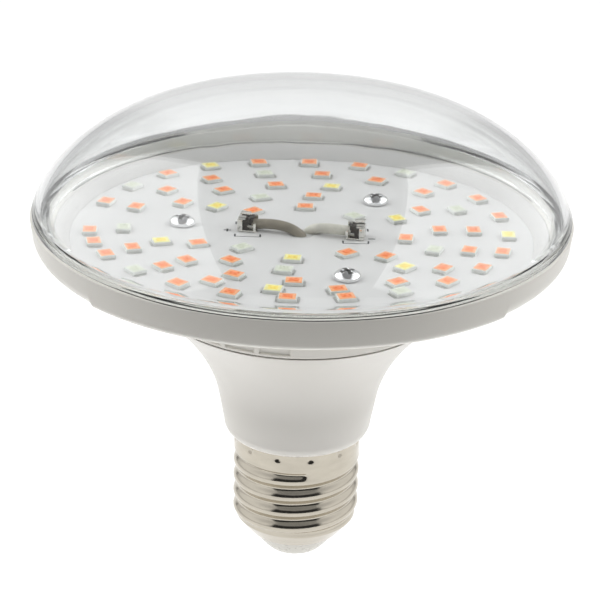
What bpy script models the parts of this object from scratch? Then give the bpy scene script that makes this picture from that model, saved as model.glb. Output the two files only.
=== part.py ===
"""Mushroom-shaped LED plant lamp with a clear cover and a screw cap.

The axis of the lamp is Z. The origin is the middle of the flat bottom of the
centre contact, and the clear dome points up. Azimuths are in degrees: 0 is -Y
(the front) and they grow toward +X. All lengths are in metres.
"""
import math

import bmesh
import bpy
from mathutils import Matrix, Vector

MM = 0.001

# Stack of heights along the axis, from the contact up
CAP_HEIGHT = 27.95 * MM
NECK_HEIGHT = 29.25 * MM
COLLAR_HEIGHT = 5.0 * MM
UNDERSIDE_RISE = 7.5 * MM
RIM_HEIGHT = 6.9 * MM
SKIRT_HEIGHT = 1.0 * MM
DOME_HEIGHT = 20.33 * MM

# Radii and rounds of the disc housing
RIM_RADIUS = 53.8 * MM
RIM_SHOULDER = 0.3 * MM
RIM_TAPER = 0.113
RIM_CORNER = 4.0 * MM
RIM_FOOT_WIDTH = 0.95 * MM
SEAM_RADIUS = 29.1 * MM
COLLAR_FLARE = 1.2 * MM
HOUSING_WALL = 1.35 * MM
FLOOR_THICKNESS = 1.2 * MM
BOARD_LEDGE_WIDTH = 3.0 * MM
CHANNEL_DEPTH = 5.6 * MM

# Fuller parts of the rim's lower corner
PAD_SWEEP = 93.0
PAD_MIDDLE = (-0.5, 179.5)
PAD_DROP = 0.5 * MM
PAD_CORNER = 1.4 * MM
PAD_DEPTH = 3.4 * MM

# Panes sunk into the collar
PANE_GROUPS = 4
PANES_IN_GROUP = 3
PANE_PITCH = 14.0
PANE_FIRST = -37.0
PANE_RIB = 0.9 * MM
PANE_HEIGHT = 2.4 * MM
PANE_SILL = 0.75 * MM
PANE_DEPTH = 0.6 * MM
PANE_CUT_REACH = 1.5 * MM

# Clear cover
COVER_WALL = 2.0 * MM
DOME_STEP = 0.1 * MM
DOME_OUT_POWER = 3.21
DOME_UP_POWER = 1.307
LIP_DEPTH = 2.6 * MM
LIP_WALL = 1.4 * MM
SHOULDER_WIDTH = 2.6 * MM

# Neck
NECK_RADIUS = 15.18 * MM
NECK_WALL = 1.8 * MM
NECK_DRAFT = 0.184
NECK_CORNER = 2.2 * MM
NECK_FOOT_TUCK = 1.58 * MM
FLARE_HEIGHT = 20.28 * MM
FLARE_POWER = 1.984
COLLAR_SPIGOT_HEIGHT = 3.3 * MM
COLLAR_SPIGOT_WALL = 1.5 * MM
CAP_SPIGOT_STANDOFF = 3.25 * MM
CAP_SPIGOT_WALL = 1.5 * MM

# Screw cap
THREAD_CREST = 13.1 * MM
THREAD_DEPTH = 0.9 * MM
THREAD_PITCH = 3.629 * MM
THREAD_FIRST_CREST = 6.16 * MM
THREAD_START = 3.85 * MM
THREAD_RUN_IN = 1.1 * MM
THREAD_RUN_OUT = 1.65 * MM
BAND_RADIUS = 13.05 * MM
CAP_WALL = 0.3 * MM
CONE_TOP_Z = 8.7 * MM
CONE_TOP_RADIUS = 12.5 * MM
CONE_FOOT_Z = 5.4 * MM
CONE_FOOT_RADIUS = 9.8 * MM
DIMPLE_COUNT = 12
DIMPLE_AZIMUTH = -16.8
DIMPLE_DROP = 1.3 * MM
DIMPLE_DEPTH = 0.45 * MM
DIMPLE_RADIUS = 1.6 * MM
DIMPLE_ROW = 0.7 * MM

# Insulator and contact
INSULATOR_WAIST_Z = 2.8 * MM
INSULATOR_WAIST_RADIUS = 7.4 * MM
INSULATOR_FOOT_RADIUS = 5.55 * MM
INSULATOR_WALL = 1.6 * MM
CONTACT_RADIUS = 4.3 * MM
CONTACT_THICKNESS = 0.45 * MM
RIVET_RADIUS = 1.3 * MM
RIVET_LENGTH = 3.0 * MM

# Light board and the dish under it
BOARD_RECESS = 5.0 * MM
BOARD_THICKNESS = 1.0 * MM
BOARD_MARGIN = 0.8 * MM
DISH_THICKNESS = 1.0 * MM
DISH_EDGE_CLEARANCE = 0.9 * MM
DISH_CUP_WALL = 1.0 * MM
WIRE_HOLE_RADIUS = 2.9 * MM

# Light-emitting packages: rings from the outside in
OUTER_RING_INSET = 5.0 * MM
INNER_RING_RADIUS = 14.9 * MM
RING_COUNTS = (24, 18, 15, 12, 8)
RING_PHASES = (-2.5, -8.6, -2.6, -8.6, -7.9)
RING_GAPS = ((), (), (1, 6, 11), (1, 5, 9), (2, 6))
RADIAL_PLACES = ((2, 12), (3, 10), (4, 7))
PACKAGE_LENGTH = 3.5 * MM
PACKAGE_WIDTH = 2.8 * MM
PACKAGE_HEIGHT = 0.75 * MM

# Board screws
SCREW_RING_OFFSET = 2.15 * MM
SCREW_AZIMUTHS = (21.4, 141.4, 261.4)
SCREW_HEAD_RADIUS = 2.6 * MM
SCREW_HEAD_HEIGHT = 1.7 * MM
SCREW_SHANK_RADIUS = 1.45 * MM
SCREW_TIP_RADIUS = 0.65 * MM
SCREW_LENGTH = 6.0 * MM
RECESS_SPAN = 2.8 * MM
RECESS_WIDTH = 0.6 * MM
RECESS_DEPTH = 1.0 * MM
BOSS_WALL = 1.3 * MM

# Terminals and leads
TERMINAL_CIRCLE = 11.0 * MM
TERMINAL_AZIMUTHS = {"left": -97.9, "right": 82.1}
TERMINAL_LENGTH = 4.4 * MM
TERMINAL_WIDTH = 3.8 * MM
TERMINAL_HEIGHT = 3.2 * MM
TERMINAL_SHEET = 0.5 * MM
LEAD_RADIUS = 1.0 * MM
LEAD_SPACING = 2.6 * MM
LEAD_ARCH = 0.55
LEAD_DROP = 0.45

# Power supply in the neck; a place is a share of the board's half width and of its height
DRIVER_THICKNESS = 1.6 * MM
DRIVER_HEIGHT = 27.0 * MM
BULK_RADIUS = 4.0 * MM
BULK_HEIGHT = 12.0 * MM
BULK_OFFSET = 5.2 * MM
CHOKE_RADIUS = 4.5 * MM
CHOKE_HEIGHT = 9.0 * MM
CHOKE_OFFSET = 4.95 * MM
CHOKE_FLANGE = 1.2 * MM
CHOKE_WAIST = 2.4 * MM
WINDING_RADIUS = 4.0 * MM
FILM_CAPACITOR_SIZE = (10.0 * MM, 4.5 * MM, 8.0 * MM)
FILM_CAPACITOR_PLACE = (-0.25, 0.72)
BRIDGE_SIZE = (6.5 * MM, 2.6 * MM, 4.8 * MM)
BRIDGE_PLACE = (-0.3, 0.25)
CHIP_SIZE = (5.0 * MM, 1.6 * MM, 4.0 * MM)
CHIP_PLACE = (0.4, 0.45)
SUPPLY_WIRE_RADIUS = 0.6 * MM

# Clearances
FIT = 0.3 * MM
RUN_CLEARANCE = 0.6 * MM

# Facets
DISC_SEGMENTS = 48
NECK_SEGMENTS = 32
CAP_SEGMENTS = 36
SMALL_SEGMENTS = 12
ROWS_PER_PITCH = 6
DOME_ROWS = 9
FLARE_ROWS = 7
CORNER_STEPS = 3
LEAD_STEPS = 12
SHARP_ANGLE = 32.0
SCREW_EDGE_ANGLE = 12

# Heights that follow from the stack
SEAM_Z = CAP_HEIGHT + NECK_HEIGHT
COLLAR_TOP_Z = SEAM_Z + COLLAR_HEIGHT
RIM_FOOT_Z = COLLAR_TOP_Z + UNDERSIDE_RISE
JOINT_Z = RIM_FOOT_Z + RIM_HEIGHT
DOME_BASE_Z = JOINT_Z + SKIRT_HEIGHT
BOARD_TOP_Z = JOINT_Z - BOARD_RECESS
BOARD_FOOT_Z = BOARD_TOP_Z - BOARD_THICKNESS
LEDGE_Z = BOARD_FOOT_Z - FIT
DISH_TOP_Z = BOARD_FOOT_Z - FIT
DISH_FOOT_Z = DISH_TOP_Z - DISH_THICKNESS
FLOOR_TOP_Z = COLLAR_TOP_Z + FLOOR_THICKNESS
SPIGOT_TOP_Z = SEAM_Z + COLLAR_SPIGOT_HEIGHT

# Radii that follow from the rim inward
SKIRT_RADIUS = RIM_RADIUS - RIM_SHOULDER
DOME_RADIUS = SKIRT_RADIUS - DOME_STEP
LIP_RADIUS = SKIRT_RADIUS - SHOULDER_WIDTH
LIP_INNER_RADIUS = LIP_RADIUS - LIP_WALL
BOARD_RADIUS = LIP_INNER_RADIUS - BOARD_MARGIN
LEDGE_INNER_RADIUS = BOARD_RADIUS - BOARD_LEDGE_WIDTH
COLLAR_TOP_RADIUS = SEAM_RADIUS + COLLAR_FLARE
PANE_WIDTH = math.radians(PANE_PITCH) * SEAM_RADIUS - PANE_RIB
COLLAR_BORE = SEAM_RADIUS - HOUSING_WALL
COLLAR_SPIGOT_RADIUS = COLLAR_BORE - FIT
THREAD_ROOT = THREAD_CREST - THREAD_DEPTH
CAP_SPIGOT_RADIUS = THREAD_ROOT - CAP_WALL - FIT
CAP_SPIGOT_FOOT_Z = CONE_TOP_Z + CAP_SPIGOT_STANDOFF
RING_PITCH = (BOARD_RADIUS - OUTER_RING_INSET - INNER_RING_RADIUS) / (len(RING_COUNTS) - 1)
SCREW_CIRCLE = INNER_RING_RADIUS + RING_PITCH + SCREW_RING_OFFSET


def material(name, colour, roughness, metallic=0.0, transmission=0.0):
    """A Principled material for one sub-part."""
    mat = bpy.data.materials.new(name)
    mat.use_nodes = True
    shader = mat.node_tree.nodes["Principled BSDF"]
    shader.inputs["Base Color"].default_value = (*colour, 1.0)
    shader.inputs["Roughness"].default_value = roughness
    shader.inputs["Metallic"].default_value = metallic
    shader.inputs["Transmission Weight"].default_value = transmission
    mat.diffuse_color = (*colour, 1.0)
    return mat


def polar(radius, azimuth, z=0.0):
    """A point from its distance to the axis and its azimuth in degrees."""
    angle = math.radians(azimuth)
    return Vector((radius * math.sin(angle), -radius * math.cos(angle), z))


def arc(centre, radii, start, end, steps):
    """Points of an elliptical arc in the profile plane, both ends included."""
    points = []
    for step in range(steps + 1):
        angle = math.radians(start + (end - start) * step / steps)
        radius = centre[0] + radii[0] * math.cos(angle)
        height = centre[1] + radii[1] * math.sin(angle)
        points.append((radius, height))
    return points


def inset(points, distance):
    """The same run of profile points moved inward along its normals."""
    moved = []
    for index, (radius, height) in enumerate(points):
        before = points[max(index - 1, 0)]
        after = points[min(index + 1, len(points) - 1)]
        run = Vector((after[0] - before[0], after[1] - before[1])).normalized()
        moved.append((radius + run.y * distance, height - run.x * distance))
    return moved


def place(obj, collection, mat=None):
    """Put an object in a collection and give it its material."""
    collection.objects.link(obj)
    if mat is not None:
        obj.data.materials.clear()
        obj.data.materials.append(mat)
    return obj


def finish_mesh(bm, name):
    """Turn a bmesh into a mesh with smooth round faces and sharp edges."""
    mesh = bpy.data.meshes.new(name)
    bm.to_mesh(mesh)
    bm.free()
    mesh.shade_smooth()
    mesh.set_sharp_from_angle(angle=math.radians(SHARP_ANGLE))
    return mesh


def as_cutter(obj):
    """Mark a helper solid so that it is neither rendered nor built."""
    obj.hide_render = True
    obj.display_type = 'WIRE'
    return place(obj, cutters)


def boolean(obj, tool, operation):
    """Cut or join an object with a helper solid."""
    mod = obj.modifiers.new(operation.lower(), 'BOOLEAN')
    mod.object = tool
    mod.operation = operation
    mod.solver = 'EXACT'
    return mod


def apply_modifiers(obj):
    """Replace the mesh of a linked object with what its modifiers make of it."""
    graph = bpy.context.evaluated_depsgraph_get()
    mesh = bpy.data.meshes.new_from_object(obj.evaluated_get(graph))
    obj.modifiers.clear()
    obj.data = mesh
    return obj


def turned(name, profile, segments, closed=True):
    """A solid turned from a profile that runs down its outer side."""
    bm = bmesh.new()
    verts = [bm.verts.new((radius, 0.0, height)) for radius, height in profile]
    for first, second in zip(verts, verts[1:]):
        bm.edges.new((first, second))
    if closed:
        bm.edges.new((verts[-1], verts[0]))
    mesh = bpy.data.meshes.new(name)
    bm.to_mesh(mesh)
    bm.free()
    obj = bpy.data.objects.new(name, mesh)
    screw = obj.modifiers.new("turn", 'SCREW')
    screw.axis = 'Z'
    screw.angle = math.tau
    screw.steps = segments
    screw.render_steps = segments
    screw.use_merge_vertices = True
    screw.merge_threshold = 0.00001
    screw.use_smooth_shade = True
    return obj


def boxes(name, sizes_and_places):
    """Separate boxes in one mesh, each given by its size and its matrix."""
    bm = bmesh.new()
    for size, matrix in sizes_and_places:
        bmesh.ops.create_cube(bm, size=1.0, matrix=matrix @ Matrix.Diagonal((*size, 1.0)))
    return bpy.data.objects.new(name, finish_mesh(bm, name))


def rods(name, rods_list, segments=SMALL_SEGMENTS):
    """Separate upright cylinders in one mesh: centre, radius, foot and top."""
    bm = bmesh.new()
    for centre, radius, foot, top in rods_list:
        matrix = Matrix.Translation((centre.x, centre.y, (foot + top) / 2))
        bmesh.ops.create_cone(bm, cap_ends=True, segments=segments, radius1=radius,
                              radius2=radius, depth=top - foot, matrix=matrix)
    return bpy.data.objects.new(name, finish_mesh(bm, name))


def bezier(start, leave, arrive, end, steps):
    """Points of one smooth stretch of wire, the first one left out."""
    points = []
    for step in range(1, steps + 1):
        t = step / steps
        s = 1 - t
        points.append(start * s ** 3 + leave * (3 * s * s * t) + arrive * (3 * s * t * t) + end * t ** 3)
    return points


def wire(name, points, radius, mat):
    """A round wire along its points."""
    curve = bpy.data.curves.new(name, 'CURVE')
    curve.dimensions = '3D'
    curve.bevel_depth = radius
    curve.bevel_resolution = 2
    curve.use_fill_caps = True
    spline = curve.splines.new('POLY')
    spline.points.add(len(points) - 1)
    for target, point in zip(spline.points, points):
        target.co = (*point, 1.0)
    return place(bpy.data.objects.new(name, curve), lamp, mat)


def smoothstep(low, high, value):
    """0 below the low value, 1 above the high one, with a smooth run between."""
    t = min(max((value - low) / (high - low), 0.0), 1.0)
    return t * t * (3 - 2 * t)


def spread(start, end, count):
    """Evenly spaced values from start to end, both included."""
    return [start + (end - start) * step / count for step in range(count + 1)]


def build_cover():
    """Low dome with a plain skirt and a lip that drops into the housing."""
    dome = []
    for step in range(DOME_ROWS + 1):
        angle = math.pi / 2 * (1 - step / DOME_ROWS)
        radius = DOME_RADIUS * math.cos(angle) ** (2 / DOME_OUT_POWER)
        height = DOME_BASE_Z + DOME_HEIGHT * math.sin(angle) ** (2 / DOME_UP_POWER)
        dome.append((radius if step else 0.0, height))
    shoulder_z = JOINT_Z + FIT / 2
    inner = inset(dome, COVER_WALL)
    inner[0] = (0.0, dome[0][1] - COVER_WALL)
    inner[-1] = (DOME_RADIUS - COVER_WALL, DOME_BASE_Z)
    skirt = arc((DOME_RADIUS, shoulder_z), (DOME_STEP, DOME_BASE_Z - shoulder_z), 90, 0, CORNER_STEPS)[1:]
    lip = [(LIP_RADIUS, shoulder_z),
           (LIP_RADIUS, shoulder_z - LIP_DEPTH),
           (LIP_INNER_RADIUS, shoulder_z - LIP_DEPTH),
           (LIP_INNER_RADIUS, shoulder_z)]
    profile = dome + skirt + lip + inner[::-1]
    obj = turned("clear_cover", profile, DISC_SEGMENTS, closed=False)
    return place(obj, lamp, material("clear_plastic", (0.93, 0.95, 0.95), 0.04, transmission=1.0))


def rim_corner_centre():
    """Centre of the round at the foot of the rim."""
    drop = RIM_HEIGHT - RIM_SHOULDER - RIM_CORNER
    return (RIM_RADIUS - RIM_TAPER * drop - RIM_CORNER, RIM_FOOT_Z + RIM_CORNER)


def build_housing():
    """Disc housing: rim, hidden underside, collar, ledge and cover channel."""
    channel_radius = LIP_RADIUS + FIT
    top_z = JOINT_Z - FIT / 2
    corner = rim_corner_centre()
    foot_inner = corner[0] - RIM_FOOT_WIDTH
    seat_radius = BOARD_RADIUS + FIT
    channel_z = JOINT_Z - CHANNEL_DEPTH
    outside = [(channel_radius, top_z)]
    outside += arc((RIM_RADIUS - RIM_SHOULDER, top_z - RIM_SHOULDER), (RIM_SHOULDER, RIM_SHOULDER), 90, 0, 2)
    outside += arc(corner, (RIM_CORNER, RIM_CORNER), 0, -90, CORNER_STEPS + 1)
    outside += [(foot_inner, RIM_FOOT_Z),
                (COLLAR_TOP_RADIUS, COLLAR_TOP_Z),
                (SEAM_RADIUS, SEAM_Z + FIT / 2)]
    inside = [(COLLAR_BORE, SEAM_Z + FIT / 2),
              (COLLAR_BORE + FIT, FLOOR_TOP_Z),
              (LEDGE_INNER_RADIUS, LEDGE_Z),
              (seat_radius, LEDGE_Z),
              (seat_radius, channel_z),
              (channel_radius, channel_z)]
    obj = turned("lamp_housing", outside + inside, DISC_SEGMENTS)
    boolean(obj, rim_pads(corner), 'UNION')
    boolean(obj, collar_panes(), 'DIFFERENCE')
    return place(obj, lamp, white_plastic)


def rim_pads(corner):
    """Two arcs of fuller corner under the rim, as sections swept round the axis."""
    outer = corner[0] + RIM_CORNER
    inner = corner[0] - RIM_FOOT_WIDTH / 2
    foot = RIM_FOOT_Z + PAD_DROP
    section = [(outer - PAD_CORNER, foot + PAD_DEPTH)]
    section += arc((outer - PAD_CORNER - RIM_TAPER * PAD_DEPTH, foot + PAD_CORNER),
                   (PAD_CORNER, PAD_CORNER), 0, -90, CORNER_STEPS)
    section += [(inner, foot), (inner, foot + PAD_CORNER)]
    bm = bmesh.new()
    for middle in PAD_MIDDLE:
        start = middle - PAD_SWEEP / 2
        verts = []
        for radius, height in section:
            verts.append(bm.verts.new(polar(radius, start, height)))
        face = bm.faces.new(verts)
        bmesh.ops.spin(bm, geom=[face, *face.edges, *verts], cent=(0, 0, 0), axis=(0, 0, 1),
                       angle=math.radians(PAD_SWEEP), steps=round(DISC_SEGMENTS * PAD_SWEEP / 360))
    bmesh.ops.recalc_face_normals(bm, faces=bm.faces)
    return as_cutter(bpy.data.objects.new("rim_pads", finish_mesh(bm, "rim_pads")))


def collar_panes():
    """Cutters for the shallow panes in the collar, in evenly spaced groups."""
    cuts = []
    foot = SEAM_Z + PANE_SILL
    lean = (COLLAR_TOP_RADIUS - SEAM_RADIUS) / COLLAR_HEIGHT
    for group in range(PANE_GROUPS):
        for pane in range(PANES_IN_GROUP):
            azimuth = PANE_FIRST + PANE_PITCH * pane + 360 / PANE_GROUPS * group
            middle_z = foot + PANE_HEIGHT / 2
            face_radius = SEAM_RADIUS + lean * (middle_z - SEAM_Z)
            reach = PANE_DEPTH + PANE_CUT_REACH
            centre = polar(face_radius - PANE_DEPTH + reach / 2, azimuth, middle_z)
            turn = Matrix.Rotation(math.radians(azimuth), 4, 'Z')
            tilt = Matrix.Rotation(math.atan(lean), 4, 'X')
            size = (PANE_WIDTH, reach, PANE_HEIGHT)
            cuts.append((size, Matrix.Translation(centre) @ turn @ tilt))
    return as_cutter(boxes("collar_pane_cutter", cuts))


def housing_cone_radius(z):
    """Inner radius of the housing's cone between its floor and the board's ledge."""
    share = (z - FLOOR_TOP_Z) / (LEDGE_Z - FLOOR_TOP_Z)
    floor_radius = COLLAR_BORE + FIT
    return floor_radius + (LEDGE_INNER_RADIUS - floor_radius) * share


def build_dish():
    """Aluminium dish: plate under the board, cup in the collar, screw bosses."""
    plate_radius = housing_cone_radius(DISH_FOOT_Z) - DISH_EDGE_CLEARANCE
    cup_radius = COLLAR_BORE - FIT
    cup_foot = SPIGOT_TOP_Z + FIT
    profile = [(WIRE_HOLE_RADIUS + RUN_CLEARANCE, DISH_TOP_Z),
               (plate_radius, DISH_TOP_Z),
               (plate_radius, DISH_FOOT_Z),
               (cup_radius, DISH_FOOT_Z),
               (cup_radius, cup_foot),
               (cup_radius - DISH_CUP_WALL, cup_foot),
               (cup_radius - DISH_CUP_WALL, DISH_FOOT_Z),
               (WIRE_HOLE_RADIUS + RUN_CLEARANCE, DISH_FOOT_Z)]
    obj = turned("heat_sink_dish", profile, DISC_SEGMENTS)
    hole = SCREW_SHANK_RADIUS + FIT
    screw_foot = BOARD_TOP_Z - SCREW_LENGTH
    bosses = []
    holes = []
    for azimuth in SCREW_AZIMUTHS:
        centre = polar(SCREW_CIRCLE, azimuth)
        bosses.append((centre, hole + BOSS_WALL, screw_foot - BOSS_WALL, (DISH_FOOT_Z + DISH_TOP_Z) / 2))
        holes.append((centre, hole, screw_foot - FIT, DISH_TOP_Z + DISH_THICKNESS))
    boolean(obj, as_cutter(rods("dish_bosses", bosses)), 'UNION')
    boolean(obj, as_cutter(rods("dish_screw_holes", holes)), 'DIFFERENCE')
    return place(obj, lamp, material("dish_aluminium", (0.72, 0.73, 0.74), 0.35, metallic=1.0))


def package_places():
    """Matrices of all packages: rings of places, less those left to other parts."""
    places = []
    height = BOARD_TOP_Z + PACKAGE_HEIGHT / 2
    for ring, count in enumerate(RING_COUNTS):
        radius = BOARD_RADIUS - OUTER_RING_INSET - RING_PITCH * ring
        for index in range(count):
            if index in RING_GAPS[ring]:
                continue
            azimuth = RING_PHASES[ring] + 360 / count * index
            turn = azimuth + (90 if (ring, index) in RADIAL_PLACES else 0)
            centre = polar(radius, azimuth, height)
            places.append(Matrix.Translation(centre) @ Matrix.Rotation(math.radians(turn), 4, 'Z'))
    return places


def build_board():
    """Round board with its packages standing on it and its holes."""
    obj = rods("led_board", [(Vector((0, 0, 0)), BOARD_RADIUS, BOARD_FOOT_Z, BOARD_TOP_Z)], DISC_SEGMENTS)
    overlap = BOARD_THICKNESS / 4
    size = (PACKAGE_LENGTH, PACKAGE_WIDTH, PACKAGE_HEIGHT + overlap)
    sink = Matrix.Translation((0, 0, -overlap / 2))
    packages = boxes("light_packages", [(size, matrix @ sink) for matrix in package_places()])
    above = BOARD_TOP_Z + BOARD_THICKNESS
    below = BOARD_FOOT_Z - BOARD_THICKNESS
    holes = [(Vector((0, 0, 0)), WIRE_HOLE_RADIUS, below, above)]
    for azimuth in SCREW_AZIMUTHS:
        holes.append((polar(SCREW_CIRCLE, azimuth), SCREW_SHANK_RADIUS + FIT, below, above))
    boolean(obj, as_cutter(packages), 'UNION')
    boolean(obj, as_cutter(rods("board_holes", holes)), 'DIFFERENCE')
    return place(obj, lamp, material("board_white", (0.80, 0.81, 0.82), 0.45))


def build_screws():
    """Pan-head screws with a cross recess, one mesh shared by all three."""
    seat = FIT
    crown = arc((0.0, seat), (SCREW_HEAD_RADIUS, SCREW_HEAD_HEIGHT), 90, SCREW_EDGE_ANGLE, CORNER_STEPS + 1)
    crown[0] = (0.0, seat + SCREW_HEAD_HEIGHT)
    profile = crown + [(SCREW_HEAD_RADIUS, seat),
                       (SCREW_SHANK_RADIUS, seat),
                       (SCREW_SHANK_RADIUS, SCREW_SHANK_RADIUS - SCREW_LENGTH),
                       (SCREW_TIP_RADIUS, -SCREW_LENGTH),
                       (0.0, -SCREW_LENGTH)]
    pattern = turned("screw_pattern", profile, SMALL_SEGMENTS, closed=False)
    depth = RECESS_DEPTH * 2
    top = Matrix.Translation((0, 0, seat + SCREW_HEAD_HEIGHT))
    slots = boxes("screw_recess", [((RECESS_SPAN, RECESS_WIDTH, depth), top)])
    boolean(pattern, as_cutter(slots), 'DIFFERENCE')
    cross = boxes("screw_recess_cross", [((RECESS_WIDTH, RECESS_SPAN, depth), top)])
    boolean(pattern, as_cutter(cross), 'DIFFERENCE')
    as_cutter(pattern)
    apply_modifiers(pattern)
    pattern.data.materials.append(material("screw_steel", (0.70, 0.70, 0.71), 0.25, metallic=1.0))
    for number, azimuth in enumerate(SCREW_AZIMUTHS, start=1):
        screw = bpy.data.objects.new(f"board_screw_{number}", pattern.data)
        screw.location = polar(SCREW_CIRCLE, azimuth, BOARD_TOP_Z)
        screw.rotation_euler.z = math.radians(azimuth)
        lamp.objects.link(screw)


def build_terminal(side, mat):
    """Sheet-metal cage, open toward the middle, with a slot in its roof."""
    azimuth = TERMINAL_AZIMUTHS[side]
    inner_width = TERMINAL_WIDTH - 2 * TERMINAL_SHEET
    inner_height = TERMINAL_HEIGHT - 2 * TERMINAL_SHEET
    middle = Matrix.Translation((0, 0, TERMINAL_HEIGHT / 2))
    body = boxes(f"wire_terminal_{side}", [((TERMINAL_WIDTH, TERMINAL_LENGTH, TERMINAL_HEIGHT), middle)])
    mouth = middle @ Matrix.Translation((0, TERMINAL_SHEET, 0))
    cavity = boxes(f"terminal_cavity_{side}", [((inner_width, TERMINAL_LENGTH, inner_height), mouth)])
    slot_size = (inner_width / 2, TERMINAL_LENGTH / 2, TERMINAL_HEIGHT)
    slot = boxes(f"terminal_slot_{side}", [(slot_size, Matrix.Translation((0, 0, TERMINAL_HEIGHT)))])
    seat = polar(TERMINAL_CIRCLE, azimuth, BOARD_TOP_Z + FIT)
    for obj in (body, cavity, slot):
        obj.location = seat
        obj.rotation_euler.z = math.radians(azimuth)
    boolean(body, as_cutter(cavity), 'DIFFERENCE')
    boolean(body, as_cutter(slot), 'DIFFERENCE')
    return place(body, lamp, mat)


def build_lead(side, colour):
    """Insulated lead from a terminal over the board and down its middle hole."""
    azimuth = TERMINAL_AZIMUTHS[side]
    sign = -1 if side == "left" else 1
    wire_z = BOARD_TOP_Z + FIT + TERMINAL_HEIGHT / 2
    start = polar(TERMINAL_CIRCLE - TERMINAL_LENGTH / 2 + TERMINAL_SHEET * 2, azimuth, wire_z)
    mouth = polar(TERMINAL_CIRCLE - TERMINAL_LENGTH / 2, azimuth, wire_z)
    brink = Vector((sign * LEAD_SPACING / 2, 0, BOARD_TOP_Z - BOARD_THICKNESS))
    foot = Vector((brink.x, 0, driver_top() + FIT))
    span = (mouth - brink).length
    leave = mouth + (mouth - start).normalized() * span * LEAD_ARCH + Vector((0, 0, LEAD_RADIUS / 2))
    arrive = brink + Vector((0, 0, span * LEAD_DROP))
    points = [start, mouth] + bezier(mouth, leave, arrive, brink, LEAD_STEPS)
    points += [brink.lerp(foot, 0.5), foot]
    return wire(f"lead_wire_{side}", points, LEAD_RADIUS, material(f"lead_{side}", colour, 0.5))


def neck_radius(z):
    """Outer radius of the neck: a drafted tube that flares to the seam."""
    foot = CAP_HEIGHT + NECK_CORNER
    drafted = NECK_RADIUS + NECK_DRAFT * (z - foot)
    flare = SEAM_RADIUS - NECK_RADIUS - NECK_DRAFT * (SEAM_Z - foot)
    rise = max(z - (SEAM_Z - FLARE_HEIGHT), 0.0) / FLARE_HEIGHT
    return drafted + flare * rise ** FLARE_POWER


def neck_run():
    """Outer profile of the neck from the seam down to its lower corner."""
    flare_start = SEAM_Z - FLARE_HEIGHT
    heights = spread(SEAM_Z - FIT / 2, flare_start, FLARE_ROWS)
    heights += spread(flare_start, CAP_HEIGHT + NECK_CORNER, 2)[1:]
    return [(neck_radius(z), z) for z in heights]


def driver_foot():
    """Height of the ledge inside the neck that carries the driver board."""
    return CAP_HEIGHT + NECK_CORNER + FIT


def driver_top():
    """Top edge of the driver board."""
    return driver_foot() + DRIVER_HEIGHT


def driver_half_width():
    """Half the driver board's width, clear of the neck's bore at its foot."""
    bore = neck_radius(driver_foot()) - NECK_WALL
    return math.sqrt((bore - FIT) ** 2 - (DRIVER_THICKNESS / 2) ** 2)


def build_neck():
    """Trumpet-shaped neck with a spigot at each end."""
    outer = neck_run()
    tuck_radius = NECK_RADIUS - NECK_FOOT_TUCK
    outer += arc((tuck_radius, CAP_HEIGHT + FIT / 2 + NECK_CORNER), (NECK_FOOT_TUCK, NECK_CORNER), 0, -90,
                 CORNER_STEPS)[1:]
    spigot_bore = CAP_SPIGOT_RADIUS - CAP_SPIGOT_WALL
    ledge_z = driver_foot() - FIT
    bore_top = COLLAR_SPIGOT_RADIUS - COLLAR_SPIGOT_WALL
    inner = [point for point in inset(neck_run(), NECK_WALL)
             if point[0] < bore_top - FIT and point[1] > ledge_z + FIT]
    profile = [(COLLAR_SPIGOT_RADIUS, SPIGOT_TOP_Z),
               (COLLAR_SPIGOT_RADIUS, SEAM_Z - FIT / 2)]
    profile += outer
    profile += [(CAP_SPIGOT_RADIUS, CAP_HEIGHT + FIT / 2),
                (CAP_SPIGOT_RADIUS, CAP_SPIGOT_FOOT_Z),
                (spigot_bore, CAP_SPIGOT_FOOT_Z),
                (spigot_bore, ledge_z),
                (neck_radius(ledge_z) - NECK_WALL, ledge_z)]
    profile += inner[::-1]
    profile += [(bore_top, inner[0][1] + COLLAR_SPIGOT_WALL / 2),
                (bore_top, SPIGOT_TOP_Z)]
    return place(turned("neck_housing", profile, NECK_SEGMENTS), lamp, white_plastic)


def cone_radius(z):
    """Outer radius of the plain cone at the foot of the cap."""
    share = (z - CONE_FOOT_Z) / (CONE_TOP_Z - CONE_FOOT_Z)
    return CONE_FOOT_RADIUS + (CONE_TOP_RADIUS - CONE_FOOT_RADIUS) * share


def cap_surface(azimuth, z):
    """Outer radius of the cap: smooth band, rolled helix, plain cone."""
    first_crest = CAP_HEIGHT - THREAD_FIRST_CREST
    thread_top = CAP_HEIGHT - THREAD_START
    phase = (z - first_crest) / THREAD_PITCH - azimuth / 360
    helix = THREAD_ROOT + THREAD_DEPTH * (1 + math.cos(math.tau * phase)) / 2
    in_band = smoothstep(thread_top - THREAD_RUN_IN, thread_top, z)
    in_cone = 1 - smoothstep(CONE_TOP_Z, CONE_TOP_Z + THREAD_RUN_OUT, z)
    foot = cone_radius(min(z, CONE_TOP_Z))
    radius = helix * (1 - in_band) + BAND_RADIUS * in_band
    radius = radius * (1 - in_cone) + foot * in_cone
    return radius - dimple(azimuth, z)


def dimple(azimuth, z):
    """How far the nearest crimp dimple presses the band inward."""
    pitch = 360 / DIMPLE_COUNT
    offset = (azimuth - DIMPLE_AZIMUTH + pitch / 2) % pitch - pitch / 2
    across = math.radians(offset) * BAND_RADIUS
    distance = math.hypot(across, z - (CAP_HEIGHT - DIMPLE_DROP))
    return DIMPLE_DEPTH * (1 - smoothstep(0, DIMPLE_RADIUS, distance))


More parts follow.
